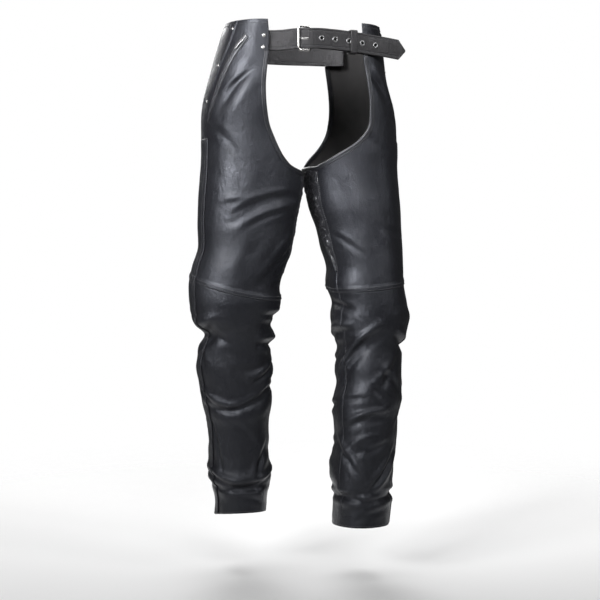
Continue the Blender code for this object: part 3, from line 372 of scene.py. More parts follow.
def grainGroup():
    # pebbled hide: its height, the pores between pebbles, slow cloudy changes and soft wrinkles
    tree, given, result = shaderGroup("hideGrain", {"Size": 1.4}, ("Height", "Pores", "Cloud", "Rumple"))
    place = add(tree, "TexCoord")["Object"]
    perMetre = reckon(tree, "DIVIDE", 1000.0, given["Size"])
    cells = add(tree, "VectorMath", {0: place, 3: perMetre}, operation="SCALE")[0]
    bend = noise(tree, cells, 0.55, 2.0)["Color"]
    bent = add(tree, "VectorMath", {0: bend, 1: (1.3, 1.3, 1.3), 2: cells}, operation="MULTIPLY_ADD")[0]
    pebbles = {"Vector": bent, "Scale": 1.0, "Randomness": 0.9}
    edge = add(tree, "TexVoronoi", pebbles, feature="DISTANCE_TO_EDGE")
    pebble = remap(tree, edge["Distance"], 0.0, 0.32, steps="SMOOTHSTEP")
    rough = reckon(tree, "MULTIPLY_ADD", noise(tree, cells, 2.6, 3.0)[0], 0.28, pebble)
    cloud = noise(tree, place, 21.0, 4.0, 0.62, 0.6)[0]
    feed(tree, result, {
        "Height": reckon(tree, "MULTIPLY_ADD", noise(tree, cells, 0.4, 2.0)[0], 0.9, rough),
        "Pores": reckon(tree, "SUBTRACT", 1.0, pebble),
        "Cloud": remap(tree, cloud, 0.3, 0.7),
        "Rumple": noise(tree, scaled(tree, place, (1.0, 1.0, 0.62)), 85.0, 3.0, 0.5, 0.9)[0]})
    return tree


def raisedEdgeGroup():
    # a mask of raised edges and crests, broken up by a fine mask, that lightens them: rub wear, and a painted
    # highlight on the gusset's pucker crests
    tree, given, result = shaderGroup("raisedEdgeMask", {"Start": 0.52, "End": 0.6}, ("Mask",))
    raised = remap(tree, add(tree, "NewGeometry")["Pointiness"], given["Start"], given["End"])
    patch = noise(tree, add(tree, "TexCoord")["Object"], 260.0, 3.0)[0]
    feed(tree, result, {"Mask": reckon(tree, "MULTIPLY", raised, remap(tree, patch, 0.35, 0.65, 0.25))})
    return tree


def newFinish(name):
    finish = bpy.data.materials.new(name)
    finish.use_nodes = True
    return finish, finish.node_tree, finish.node_tree.nodes["Principled BSDF"]


hides = {
    # tones: deep, cloudy, and the lighter tone of raised edges (rub wear, and on the gusset's crests a
    # painted highlight); roughness low and high; grain's size and depth and wrinkles' depth in mm
    "chap_leather": {"tones": ((0.0048, 0.0049, 0.0060), (0.0105, 0.0108, 0.0135), (0.05, 0.051, 0.058)),
                     "rough": (0.23, 0.5), "grain": 1.4, "depth": 0.09, "wrinkle": 0.8, "coat": 0.05,
                     "sheen": (0.84, 0.88, 1.0, 1.0)},
    # the gusset's tones are raised and its edge tone is the lightest, so its pucker crests carry a painted
    # highlight besides wear
    "gusset_leather": {"tones": ((0.01, 0.01, 0.0115), (0.026, 0.026, 0.03), (0.1, 0.1, 0.11)),
                       "rough": (0.2, 0.32), "grain": 1.1, "depth": 0.05, "wrinkle": 0.3, "coat": 0.8,
                       "sheen": (0.9, 0.93, 1.0, 1.0)},
    "belt_leather": {"tones": ((0.0068, 0.0066, 0.0069), (0.0165, 0.016, 0.0165), (0.06, 0.058, 0.057)),
                     "rough": (0.24, 0.46), "grain": 1.3, "depth": 0.13, "wrinkle": 1.0, "coat": 0.05,
                     "sheen": (0.95, 0.94, 0.98, 1.0)},
    "tape_leather": {"tones": ((0.007, 0.007, 0.008), (0.013, 0.013, 0.015), (0.05, 0.05, 0.056)),
                     "rough": (0.32, 0.44), "grain": 1.0, "depth": 0.05, "wrinkle": 0.2, "coat": 0.15,
                     "sheen": (0.88, 0.91, 1.0, 1.0)},
    # the zip's tape, near black: its own black plus painted shade for the slit it lies in
    "zip_painted_shade_cloth": {"tones": ((0.0015, 0.0015, 0.0016), (0.003, 0.003, 0.0032), (0.008, 0.008, 0.008)),
                  "rough": (0.7, 0.9), "grain": 0.6, "depth": 0.04, "wrinkle": 0.0, "coat": 0.0,
                  "sheen": (0.3, 0.3, 0.32, 1.0)}}
hideSurface = {"pores": 0.45, "poreTone": (0.004, 0.004, 0.005, 1.0), "poreRough": 0.12, "rubAndCrestHighlight": 0.5,
               "raisedEdgeMask": {"Start": 0.515, "End": 0.6}, "specular": 0.46, "coatRough": 0.28}
metals = {
    # tones: bright and tarnished; roughness low and high
    "nickel": {"tones": ((0.50, 0.49, 0.48), (0.24, 0.23, 0.22)), "rough": (0.2, 0.38)},
    "eyelet_nickel": {"tones": ((0.26, 0.26, 0.265), (0.1, 0.1, 0.105)), "rough": (0.24, 0.42)},
    "buckle_nickel": {"tones": ((0.78, 0.77, 0.76), (0.42, 0.41, 0.40)), "rough": (0.1, 0.26)},
    "zip_metal": {"tones": ((0.14, 0.14, 0.145), (0.05, 0.05, 0.055)), "rough": (0.28, 0.46)}}
scratches = {"perMetre": (700.0, 700.0, 5200.0), "depth": 0.02, "strength": 0.5}


def leatherFinish(name, hide):
    finish, tree, shader = newFinish("worn_" + name)
    surface = hideSurface
    grain = add(tree, "Group", {"Size": hide["grain"]}, node_tree=hideGrain)
    worn = add(tree, "Group", surface["raisedEdgeMask"], node_tree=raisedEdgeMask)
    deep, cloudy, rubAndCrestHighlight = ((*tone, 1.0) for tone in hide["tones"])
    base = blendTones(tree, grain["Cloud"], deep, cloudy)
    pores = reckon(tree, "MULTIPLY", grain["Pores"], surface["pores"])
    # raised edges and crests blend to the lighter tone: rub wear, and on the gusset a painted highlight
    edge = reckon(tree, "MULTIPLY", worn["Mask"], surface["rubAndCrestHighlight"])
    low, high = hide["rough"]
    rough = remap(tree, grain["Cloud"], 0.0, 1.0, high, low)
    wrinkles = bumped(tree, grain["Rumple"], hide["wrinkle"])
    feed(tree, shader, {
        "Base Color": blendTones(tree, edge, blendTones(tree, pores, base, surface["poreTone"]), rubAndCrestHighlight),
        "Roughness": reckon(tree, "MULTIPLY_ADD", grain["Pores"], surface["poreRough"], rough),
        "Normal": bumped(tree, grain["Height"], hide["depth"], Normal=wrinkles),
        "Specular IOR Level": surface["specular"], "Specular Tint": hide["sheen"],
        "Coat Weight": hide["coat"], "Coat Roughness": surface["coatRough"]})
    return finish


def metalFinish(name, metal):
    finish, tree, shader = newFinish("worn_" + name)
    place = add(tree, "TexCoord")["Object"]
    worn = add(tree, "Group", {"Start": 0.5, "End": 0.62}, node_tree=raisedEdgeMask)
    stain = remap(tree, noise(tree, place, 420.0, 4.0, 0.6)[0], 0.4, 0.72)
    bright, dull = ((*tone, 1.0) for tone in metal["tones"])
    low, high = metal["rough"]
    lines = noise(tree, scaled(tree, place, scratches["perMetre"]), 1.0, 2.0)[0]
    feed(tree, shader, {
        "Base Color": blendTones(tree, worn["Mask"], blendTones(tree, stain, bright, dull), bright),
        "Roughness": remap(tree, stain, 0.0, 1.0, low, high), "Metallic": 1.0,
        "Normal": bumped(tree, lines, scratches["depth"], scratches["strength"])})
    return finish


def suedeFinish():
    # the hide's flesh side, which lies inside the legs
    finish, tree, shader = newFinish("flesh_side")
    place = add(tree, "TexCoord")["Object"]
    nap = noise(tree, place, 900.0, 4.0, 0.7)[0]
    patch = noise(tree, place, 35.0, 3.0)[0]
    feed(tree, shader, {
        "Base Color": blendTones(tree, patch, (0.012, 0.0115, 0.012, 1.0), (0.026, 0.025, 0.025, 1.0)),
        "Normal": bumped(tree, nap, 0.25, 0.9), "Roughness": 0.92, "Specular IOR Level": 0.2,
        "Sheen Weight": 0.15})
    return finish


def threadFinish():
    finish, tree, shader = newFinish("waxed_thread")
    place = add(tree, "TexCoord")["Object"]
    wave = {"Vector": place, "Scale": 900.0, "Distortion": 1.5}
    twist = add(tree, "TexWave", wave, bands_direction="DIAGONAL")["Fac"]
    feed(tree, shader, {
        "Base Color": blendTones(tree, twist, (0.014, 0.014, 0.016, 1.0), (0.07, 0.071, 0.08, 1.0)),
        "Normal": bumped(tree, twist, 0.1, 0.7), "Roughness": 0.46})
    return finish


hideGrain, raisedEdgeMask = grainGroup(), raisedEdgeGroup()
finishes = {name: leatherFinish(name, hide) for name, hide in hides.items()}
finishes.update({name: metalFinish(name, metal) for name, metal in metals.items()})
finishes.update({"flesh": suedeFinish(), "thread": threadFinish()})
print("finishes done")


def newObject(name, points, faces, smooth=True):
    mesh = bpy.data.meshes.new(name)
    points = np.asarray(points, float).reshape(-1, 3) * mm
    mesh.from_pydata(points.tolist(), [], [tuple(int(i) for i in face) for face in faces])
    build = bmesh.new()
    build.from_mesh(mesh)
    bmesh.ops.recalc_face_normals(build, faces=build.faces)
    build.to_mesh(mesh)
    build.free()
    if smooth:
        mesh.shade_smooth()
    item = bpy.data.objects.new(name, mesh)
    bpy.context.scene.collection.objects.link(item)
    return item


def dress(item, finish=None, node=None, body="garment"):
    # the piece rides on a body, stands for a node of the part where it has one, and takes a slot's finish
    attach(item, body)
    if node:
        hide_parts(node)
    if finish:
        item.data.materials.clear()
        item.data.materials.append(finishes[finish])
    return item


def rimDrop(reach, half):
    # how far a rounded edge falls away, by how far a point reaches into it; the two faces meet at the rim
    drop = half - np.sqrt(np.maximum(0.0, half * half - np.minimum(reach, half) ** 2))
    drop[[0, -1], :] = half
    drop[:, [0, -1]] = half
    return drop


def closedShell(name, front, back):
    # one closed skin: a front grid and a back grid that share their rim
    rows, columns = front.shape[:2]
    outer = np.arange(rows * columns).reshape(rows, columns)
    inner = outer + rows * columns
    inner[[0, -1], :] = outer[[0, -1], :]
    inner[:, [0, -1]] = outer[:, [0, -1]]
    faces = []
    for grid, turned in ((outer, False), (inner, True)):
        a, b, c, d = grid[:-1, :-1], grid[:-1, 1:], grid[1:, 1:], grid[1:, :-1]
        faces.append(np.stack((a, d, c, b) if turned else (a, b, c, d), -1).reshape(-1, 4))
    faces = np.concatenate(faces)
    used = np.unique(faces)
    points = np.concatenate((front.reshape(-1, 3), back.reshape(-1, 3)))
    place = np.zeros(len(points), int)
    place[used] = np.arange(len(used))
    return newObject(name, points[used], place[faces])


rimSteps = np.array((0.0, 0.13, 0.5, 1.0))  # distances from an edge, in halves of the wall


def spacing(length, cell, half):
    # distances along a side: close together on its rounded rims, even in between
    first = rimSteps * half
    last = length - first[::-1]
    count = max(2, int(round((last[0] - first[-1]) / cell)))
    return np.concatenate((first, np.linspace(first[-1], last[0], count + 1)[1:-1], last))


def clothShell(name, leg, angles, levels, height=0.0, thick=seams["wall"], relief=0.0, hide="chap_leather"):
    # a panel over the skin, one row of columns for each level; its outer face lies at the given height
    half = thick / 2.0
    centre, normal = skin(leg, angles, levels[:, None]), skinNormal(leg, angles, levels[:, None])
    reach = 0.0
    for axis in (1, 0):
        along = lengthsAlong(centre, axis)
        whole = along[:, -1:] if axis else along[-1:, :]
        reach = reach + np.maximum(0.0, half - np.minimum(along, whole - along)) ** 2
    drop = rimDrop(np.sqrt(reach), half)
    outer = centre + normal * (height + relief - drop)[..., None]
    item = closedShell(name, outer, centre + normal * (height - thick + drop)[..., None])
    item.data.materials.append(finishes[hide])
    item.data.materials.append(finishes["flesh"])
    inside = np.zeros(len(item.data.polygons), np.int32)
    inside[len(inside) // 2:] = 1
    item.data.polygons.foreach_set("material_index", inside)
    return item


def cornerLevel(leg):
    return min(row[0] for row in leg["opening"])


def gussetBack(leg, level):
    # the gusset's rear edge, from its tip above the knee to the opening's corner
    reach = cornerLevel(leg) - seams["gussetTip"]
    share = np.clip((level - seams["gussetTip"]) / reach, 0.0, 1.0) ** seams["gussetBow"]
    tip = 360.0 + seams["inseam"] - seams["tipWidth"]
    back = tip + (seams["gussetBack"] - tip) * share
    return np.where(level <= seams["gussetTip"] - 1.0, 360.0 + seams["inseam"], back)


def frontEdge(leg, level):
    level = np.asarray(level, float)
    scoop = curveThrough(leg["opening"], level)[..., 0]
    return np.where(level <= cornerLevel(leg), seams["inseam"], scoop)


def backEdge(leg, level):
    level = np.asarray(level, float)
    scoop = curveThrough(leg["opening"], level)[..., 1]
    return np.where(level <= cornerLevel(leg), gussetBack(leg, level), scoop)


def sideLine(leg, level):
    return np.full(np.shape(level), seams["sideSeam"])


def rowLevels(leg, low, high, cell, edge):
    # rows from low to high, closer together where the edge runs nearly level
    steepest, cornerTurn, pull = 8.0, 7.0, 0.8
    fine = np.linspace(low, high, 4000)
    turn = np.abs(np.gradient(edge(leg, fine), fine)) * seams["arcPerDegree"]
    turn = np.where(np.abs(fine - cornerLevel(leg)) < 0.6, np.minimum(turn, cornerTurn), turn)
    pace = np.maximum(1.0, np.minimum(turn, steepest) * pull)
    along = np.concatenate(([0.0], np.cumsum((pace[1:] + pace[:-1]) / 2.0 * np.diff(fine))))
    return np.interp(spacing(along[-1], cell, seams["wall"] / 2.0), along, fine)


def columnAngles(first, last, cell):
    # columns between two edges, in step with each other from row to row
    arc = np.abs(last - first) * seams["arcPerDegree"]
    template = spacing(float(arc.max()), cell, seams["wall"] / 2.0)
    rim = len(rimSteps)
    angles = []
    for start, end, length in zip(first, last, arc):
        far = length - (template[-1] - template[-rim:])
        middle = np.linspace(template[rim - 1], far[0], len(template) - 2 * rim + 2)[1:-1]
        places = np.concatenate((template[:rim], middle, far)) / length
        angles.append(start + (end - start) * places)
    return np.array(angles)


def cutSheet(item, leg, name, rests=()):
    # a piece cut from a hide, standing for the leg's node of that name
    dress(item, node=leg["prefix"] + name)
    rests = [leg["prefix"] + other for other in rests]


def legPanels(leg):
    knee, gap = seams["knee"], seams["gap"]
    turn = gap / seams["arcPerDegree"]
    plans = (
        ("thigh_front", knee + gap, seams["top"], frontEdge, sideLine, frontEdge, 2.5),
        ("thigh_back", knee + gap, seams["top"], sideLine, backEdge, backEdge, 2.9),
        ("shin_front", leg["hem"], knee - gap, frontEdge, sideLine, frontEdge, 2.5),
        ("shin_back", leg["hem"], knee - gap, sideLine, backEdge, backEdge, 2.7))
    for name, low, high, first, last, edge, cell in plans:
        levels = rowLevels(leg, low, high, cell, edge)
        angles = columnAngles(first(leg, levels) + turn, last(leg, levels) - turn, cell)
        item = clothShell(leg["prefix"] + name + "_leather", leg, angles, levels)
        cutSheet(item, leg, name)
        print("panel", item.name, "has", len(item.data.polygons), "faces")


smocking = {"ridge": 3.3, "height": 2.7, "row": 12.0, "wave": 9.0, "sway": 0.9, "cell": 0.8, "rowCell": 1.4,
            "middle": 298.0, "stagger": 1.1, "loose": 13.0, "flat": 0.55, "round": 0.8, "rowRound": 0.35,
            # size of noise cells with the ridges' sideways move; size with the mean and spread of height
            "wander": ((13.0, 2.6), (5.0, 1.3)), "uneven": (8.0, 0.75, 0.45)}


def stretchGusset(leg):
    # gathered on rows of elastic thread, so the leather stands in short uneven puckers
    top, tip = cornerLevel(leg), seams["gussetTip"]
    levels = np.linspace(tip, top - 0.3, int((top - tip) / smocking["rowCell"]))
    turn = seams["gap"] / seams["arcPerDegree"]
    inseam = np.full(len(levels), 360.0 + seams["inseam"] - turn)
    angles = columnAngles(gussetBack(leg, levels) + turn, inseam, smocking["cell"])
    grid = np.broadcast_to(levels[:, None], angles.shape)
    across = (angles - smocking["middle"]) * seams["arcPerDegree"]
    loose = leatherNoise(leg, angles, grid, smocking["loose"])
    wander = sum(reach * leatherNoise(leg, angles, grid, size) for size, reach in smocking["wander"])
    wander += smocking["sway"] * np.sin(2.0 * math.pi * (grid / smocking["wave"] + 1.6 * loose))
    rows = (top - grid) / smocking["row"] + 0.7 * loose
    places = (across + wander + smocking["stagger"] * (np.floor(rows) % 2)) / smocking["ridge"]
    ridges = np.abs(np.sin(math.pi * places)) ** smocking["round"]
    between = np.abs(np.sin(math.pi * rows)) ** smocking["rowRound"]
    between = smocking["flat"] + (1.0 - smocking["flat"]) * between
    size, mean, spread = smocking["uneven"]
    uneven = mean + spread * leatherNoise(leg, angles, grid, size)
    relief = smocking["height"] * ridges * between * uneven
    side = np.minimum(across - across[:, :1], across[:, -1:] - across)
    relief *= ease(0.6, 4.0, side) * ease(top + 0.5, top - 7.0, grid) * (0.5 + 0.5 * ease(0.0, 10.0, side))
    name = leg["prefix"] + "stretch_gusset_leather"
    item = clothShell(name, leg, angles, levels, relief=relief, hide="gusset_leather")
    cutSheet(item, leg, "stretch_gusset")


flap = {"front": 72.0, "back": 99.0, "top": -165.0, "aboveHem": 0.6, "height": 1.9, "thick": 1.5, "cell": 2.5}


def sideFlap(leg):
    # the strip that lies over the outer zip, hip to hem
    low = leg["hem"] + flap["aboveHem"]
    levels = spacing(flap["top"] - low, flap["cell"], flap["thick"] / 2.0) + low
    edges = (np.full(len(levels), flap[edge]) for edge in ("front", "back"))
    angles = columnAngles(*edges, flap["cell"])
    name = leg["prefix"] + "side_flap_leather"
    item = clothShell(name, leg, angles, levels, flap["height"], flap["thick"])
    cutSheet(item, leg, "side_flap", ("thigh_back", "shin_back"))


tape = {
    "top": -19.0, "step": 2.4, "pressed": (0.66, 0.9, 1.0), "pressLevel": -0.95,
    # its section round the cut edge: distance past the edge, height over the skin
    "section": [
        (-6.0, 0.25), (-6.3, 0.6), (-6.1, 1.1), (-5.4, 1.4), (-4.6, 1.42), (-3.9, 1.2), (-3.2, 1.42),
        (-2.0, 1.62), (-0.6, 1.62), (0.6, 1.35), (1.4, 0.7), (1.8, -0.3), (1.8, -1.5), (1.4, -2.5),
        (0.6, -3.1), (-0.8, -3.35), (-3.0, -3.3), (-6.0, -3.2), (-6.3, -2.8), (-6.0, -2.4), (-2.0, -2.35),
        (0.2, -2.2), (0.7, -1.6), (0.7, -0.3), (0.2, 0.15), (-1.0, 0.25)]}


def openingPath(leg, top, step=2.5):
    # angle and level along the opening's edge: down the front, over the gusset, up the back
    corner = cornerLevel(leg)
    front = rowLevels(leg, corner, top, step, frontEdge)[::-1]
    back = rowLevels(leg, corner, top, step, backEdge)
    low, high = seams["gussetBack"], 360.0 + seams["inseam"]
    over = np.linspace(high, low, int((high - low) * seams["arcPerDegree"] / step))[1:-1]
    angle = np.concatenate((frontEdge(leg, front[:-1]), [seams["inseam"]], over - 360.0, [low - 360.0],
                            backEdge(leg, back[1:]) - 360.0))
    level = np.concatenate((front[:-1], [corner], np.full(len(over), corner), [corner], back[1:]))
    return angle, level


def smoothed(values, passes):
    values = np.array(values, float)
    for _ in range(passes):
        values[1:-1] = (values[:-2] + 2.0 * values[1:-1] + values[2:]) / 4.0
    return values


def tangents(points):
    return unit(np.gradient(points, axis=0))


def evened(points, step):
    # the same line with even steps
    lengths = lengthsAlong(points)
    places = np.linspace(0.0, lengths[-1], max(2, int(round(lengths[-1] / step)) + 1))
    return np.stack([np.interp(places, lengths, points[:, i]) for i in range(points.shape[1])], 1)


def tubeFaces(stations, around, closed=False):
    i = np.arange(stations if closed else stations - 1)[:, None]
    j = np.arange(around)[None, :]
    here, there = i * around, ((i + 1) % stations) * around
    k = (j + 1) % around
    faces = [tuple(face) for face in np.stack((here + j, here + k, there + k, there + j), -1).reshape(-1, 4)]
    if not closed:
        faces += [tuple(range(around)), tuple((stations - 1) * around + n for n in range(around))]
    return faces


def swept(name, points, across, normal, sides, rises):
    # a section carried along a line, with a row of sides and of rises for each place on it
    rings = points[:, None] + across[:, None] * sides[..., None] + normal[:, None] * rises[..., None]
    return newObject(name, rings, tubeFaces(*rises.shape))


def edgeTape(leg):
    angle, level = openingPath(leg, tape["top"])
    path = np.concatenate((skin(leg, angle, level), skinNormal(leg, angle, level)), 1)
    path = smoothed(evened(smoothed(path, 2), tape["step"]), 2)
    points, normal = path[:, :3], path[:, 3:]
    away = unit(np.cross(tangents(points), normal) * leg["side"])
    # both ends are pressed thin, where they are tucked under the belt
    fromEnd = np.minimum(np.arange(len(points)), np.arange(len(points))[::-1])[:, None]
    press = np.interp(fromEnd, (0, 2, 4), tape["pressed"])
    sides, heights = np.array(tape["section"]).T
    rises = (heights - tape["pressLevel"]) * press + tape["pressLevel"]
    name = leg["prefix"] + "edge_binding_tape"
    item = swept(name, points, away, normal, np.broadcast_to(sides, rises.shape), rises)
    item.data.materials.append(finishes["tape_leather"])
    cutSheet(item, leg, "edge_binding", ("thigh_front",))


thread = {"pitch": 3.7, "length": 3.0, "width": 0.5, "height": 0.42, "around": 6,
          "places": (-1.0, -0.72, 0.0, 0.72, 1.0), "dip": 0.9}


def stitchShape():
    # one stitch: a short thread that dips into its holes at both ends
    rings, around = [], thread["around"]
    for place in thread["places"]:
        swell = math.sqrt(max(0.05, 1.0 - place ** 4))
        for turn in (2.0 * math.pi * k / around for k in range(around)):
            dip = thread["dip"] * place ** 4
            rings.append((place * 0.5, math.cos(turn) * swell, math.sin(turn) * swell - dip))
    sizes = (thread["length"], thread["width"], thread["height"])
    return np.array(rings) * sizes, tubeFaces(len(thread["places"]), around)


def gathered(shapes):
    # several shapes as one list of points and faces
    points, faces, start = [], [], 0
    for shape, shapeFaces in shapes:
        points.append(np.asarray(shape))
        faces += [tuple(k + start for k in face) for face in shapeFaces]
        start += len(shape)
    return np.concatenate(points), faces


def seamStitches(name, lines):
    # stitches along each line; a line is points and normals
    shape, faces = stitchShape()
    stitches = []
    for line, normal in lines:
        both = evened(np.concatenate((line, normal), 1), thread["pitch"])
        here, out = both[:, :3], unit(both[:, 3:])
        along = tangents(here)
        side = np.cross(along, out)
        stitches += [(carried(shape, *ways), faces) for ways in zip(here, along, side, out)]
    return dress(newObject(name, *gathered(stitches)), "thread")


sewing = {"knee": (1.9, 7.0), "hem": 3.2, "flap": (2.2, 8.6), "flapHeight": 2.0, "top": 29.0, "edge": 2.6,
          "box": [(74.5, 9.0), (84.0, 9.0), (84.0, -5.0), (74.5, -5.0), (74.5, 9.0)]}


def legStitches(leg):
    knee, hem, arc, inseam = seams["knee"], leg["hem"], seams["arcPerDegree"], seams["inseam"]
    corner, prefix = cornerLevel(leg), leg["prefix"]
    around = np.linspace(inseam + 1.5, 360.0 + inseam - 2.5, 300)
    clearOfFlap = (around[around < flap["front"] - 1.0], around[around > flap["back"] + 1.0])
    seamStitches(prefix + "knee_stitches", [
        onSkin(leg, part, knee + rise) for rise in sewing["knee"] for part in clearOfFlap])
    seamStitches(prefix + "hem_stitches", [onSkin(leg, part, hem + sewing["hem"]) for part in clearOfFlap])
    levels, height = np.linspace(hem + 4.0, flap["top"] - 5.0, 300), sewing["flapHeight"]
    lines = [onSkin(leg, flap["front"] + inset / arc, levels, height) for inset in sewing["flap"]]
    lines.append(onSkin(leg, flap["back"] - sewing["flap"][0] / arc, levels, height))
    across = np.linspace(flap["front"] + 1.6, flap["back"] - 1.6, 12)
    lines.append(onSkin(leg, across, flap["top"] - 3.0, height))
    for (a, b), (c, d) in zip(sewing["box"], sewing["box"][1:]):
        lines.append(onSkin(leg, np.linspace(a, c, 8), np.linspace(knee + b, knee + d, 8), height))
    seamStitches(prefix + "flap_stitches", lines)
    ends = float(frontEdge(leg, sewing["top"])) + 3.0, float(backEdge(leg, sewing["top"])) - 3.0
    lap, rows = np.linspace(-84.0, 27.0, 50), np.linspace(-20.0, sewing["top"], 16)
    seamStitches(prefix + "top_stitches", [
        onSkin(leg, np.linspace(*ends, 160), sewing["top"]),
        onSkin(leg, seams["sideSeam"] + 2.0 / arc, np.linspace(-160.0, 26.0, 80)),
        onSkin(leg, lapEdge(lap) + 3.2 / arc, lap),
        onSkin(leg, frontEdge(leg, rows) + sewing["edge"] / arc, rows),
        onSkin(leg, backEdge(leg, rows) - sewing["edge"] / arc, rows)])
    inner = np.linspace(seams["gussetTip"], corner - 8.0, 90)
    seamStitches(prefix + "inseam_stitches", [
        onSkin(leg, inseam + 2.4 / arc, np.linspace(knee + 9.0, corner - 8.0, 100)),
        onSkin(leg, gussetBack(leg, inner) - 2.4 / arc, inner),
        onSkin(leg, inseam + 2.2 / arc, np.linspace(hem + 4.0, knee - 2.0, 160))])


def lathe(profile, around=24):
    # a profile of radius and height, turned about its own Z
    turns = [2 * math.pi * k / around for k in range(around)]
    points = [(radius * math.cos(turn), radius * math.sin(turn), height)
              for radius, height in profile for turn in turns]
    return np.array(points), tubeFaces(len(profile), around)


def carried(points, centre, x, y, z):
    # a shape's points set down at a centre, with its own three directions
    return np.asarray(centre) + points[:, :1] * x + points[:, 1:2] * y + points[:, 2:] * z


def placed(points, centre, normal):
    # a turned shape set on a surface: its own Z stands along the normal
    normal = np.asarray(normal, float)
    side = unit(np.cross(normal, up))
    return carried(points, centre, side, np.cross(side, normal), normal)


rivet = {"radius": 3.1, "dome": 1.5, "skirt": ((0.96, -0.5), (1.04, 0.05), (1.02, 0.22), (0.93, 0.3)),
         "crown": 0.9, "seat": 0.26, "lift": 0.15}


def rivetCap(leg, name, angle, level, height=1.0):
    radius, seat = rivet["radius"], rivet["seat"]
    dome = rivet["dome"] * height - seat
    profile = [(radius * share, rise) for share, rise in rivet["skirt"]]
    crown = radius * rivet["crown"]
    profile += [(crown * math.cos(t), seat + dome * math.sin(t)) for t in np.linspace(0.0, 1.5, 9)]
    points, faces = lathe(profile)
    node = leg["prefix"] + name
    item = newObject(node + "_cap", placed(points, *onSkin(leg, angle, level, rivet["lift"])), faces)
    dress(item, "nickel", node)


def rivets(leg):
    for i, (angle, level) in enumerate(((50, 22), (66, -41), (80, -101))):
        rivetCap(leg, "hip_rivet_%d" % (i + 1), angle, level)
    for i, level in enumerate((7, -14)):
        rivetCap(leg, "corner_rivet_%d" % (i + 1), float(frontEdge(leg, level)) + 6, level, 0.8)
    for i, level in enumerate((14, -4)):
        rivetCap(leg, "back_rivet_%d" % (i + 1), 176, level, 0.8)


belt = {
    "width": 35.0, "thick": 2.6, "level": 1.9, "point": 15.0,
    "stitchInset": 4.6, "pressed": 0.34, "pressWidth": 1.1, "crown": 0.25,
    "prongSlot": (12.0, 10.0, 3.2), "barSlot": (11.0, 12.0, 4.4),  # cut out: along, through and up
    # where the stitches start and end, left to right
    "tongueSewn": (-103.0, 154.0), "strapSewn": (12.0, 100.0), "bandSewn": (-104.0, 104.0),
    "tongue": [
        (-104, -77.4, -2), (-80, -83.9, -1.7), (-58, -90.5, -1), (-45, -95, 0.5), (-31.6, -99.1, 1.7),
        (-21, -102.6, 1.9), (-10, -105.6, 2), (3, -105.2, 2.5), (25, -102.6, 2.3), (60, -98.8, 0.5),
        (88, -95.2, -2), (125, -88.8, -5), (155, -82.6, -8)],
    "tipTaper": ((0.0, 2.0, 13.8, 15.0), (17.2, 15.6, 2.4, 1.3)),
    "buckleStrap": [(104, -79.2, -3), (88, -84.4, -2), (60, -91.5, 0), (25, -97.6, 2), (8, -99.2, 2)],
    "strapFold": [(-4.0, -96.4, 1.9), (6.0, -95.8, 2.0), (24.0, -93.6, 2.0)],
    "strapHigh": 34.0, "foldHigh": 30.4,
    "backBand": [
        (-106, 69.9, 0), (-80, 79.4, 0), (-40, 89, 1), (0, 92, 1), (40, 89, 1), (80, 79.4, 0),
        (106, 69.9, 0)],
    "backWidth": 40.0, "freeBar": (-31.6, -102.9), "hingeBar": (-10.0, -99.7), "bar": 1.5, "frameHalf": 20.0,
    "eyelets": [8.0, 33.3, 58.6, 83.9, 109.2], "eyeletHole": 2.6, "eyeletRim": 5.0,
    "prong": 0.9, "prongShank": [(-15.0, -101.9, 1.9), (-21.0, -103.4, 1.9), (-27.0, -105.4, 1.9),
                                 (-33.0, -105.9, 1.9), (-35.2, -105.3, 1.9)],
    "keeperPlace": 67.5, "keeperBand": 13.0, "keeperRoom": 1.5, "keeperDepth": 11.6, "keeperCorner": 0.6,
    "keeperSlack": 0.9}


def routeThrough(points, step):
    points = np.array(points, float)
    lengths = lengthsAlong(points)
    count = max(3, int(round(lengths[-1] / step)) + 1)
    return curveThrough(np.column_stack((lengths, points)), np.linspace(0.0, lengths[-1], count))


def outwardFrom(route):
    # the strap's outer side, level in plan
    along = tangents(route)
    return unit(np.stack((along[:, 1], -along[:, 0], np.zeros(len(along))), 1))


def strap(node, route, halfHeights, thick, crown=0.0):
    # an upright leather strap with skived round edges and a pressed line under its stitches
    half, outward = thick / 2.0, outwardFrom(route)[:, None]
    rim = np.array((0.0, 0.012, 0.045, 0.09))
    places = np.concatenate((rim - 1.0, np.linspace(-0.86, 0.86, 25), 1.0 - rim[::-1]))
    high = halfHeights[:, None] * places
    toEdge = halfHeights[:, None] * (1.0 - np.abs(places))
    lengths = lengthsAlong(route)
    toEnd = np.minimum(lengths, lengths[-1] - lengths)[:, None]
    drop = rimDrop(np.maximum(0.0, half - np.minimum(toEdge, toEnd)), half)
    line = np.exp(-(((toEdge - belt["stitchInset"]) / belt["pressWidth"]) ** 2))
    swell = crown * (1.0 - places ** 2) - belt["pressed"] * line
    swell[[0, -1], :] = 0.0
    swell[:, [0, -1]] = 0.0
    middle = route[:, None] + up * high[..., None]
    front = middle + outward * (half - drop + swell)[..., None]
    return closedShell(node + "_leather", front, middle - outward * (half - drop)[..., None])


def dressStrap(item, node):
    return dress(item, "belt_leather", node)


def strapStitches(name, route, halfHeights, thick, inset, sewn, more=()):
    # stitch lines near a strap's edges, on its outer side and its inner side
    outward = outwardFrom(route)
    chosen = (route[:, 0] >= sewn[0]) & (route[:, 0] <= sewn[1])
    lines = []
    for edge in (1.0, -1.0):
        high = edge * (halfHeights[chosen] - inset)
        for side in (1.0, -1.0):
            lift = outward[chosen] * side * (thick / 2.0 + 0.02)
            lines.append((route[chosen] + up * high[:, None] + lift, outward[chosen] * side))
    seamStitches(name, lines + list(more))


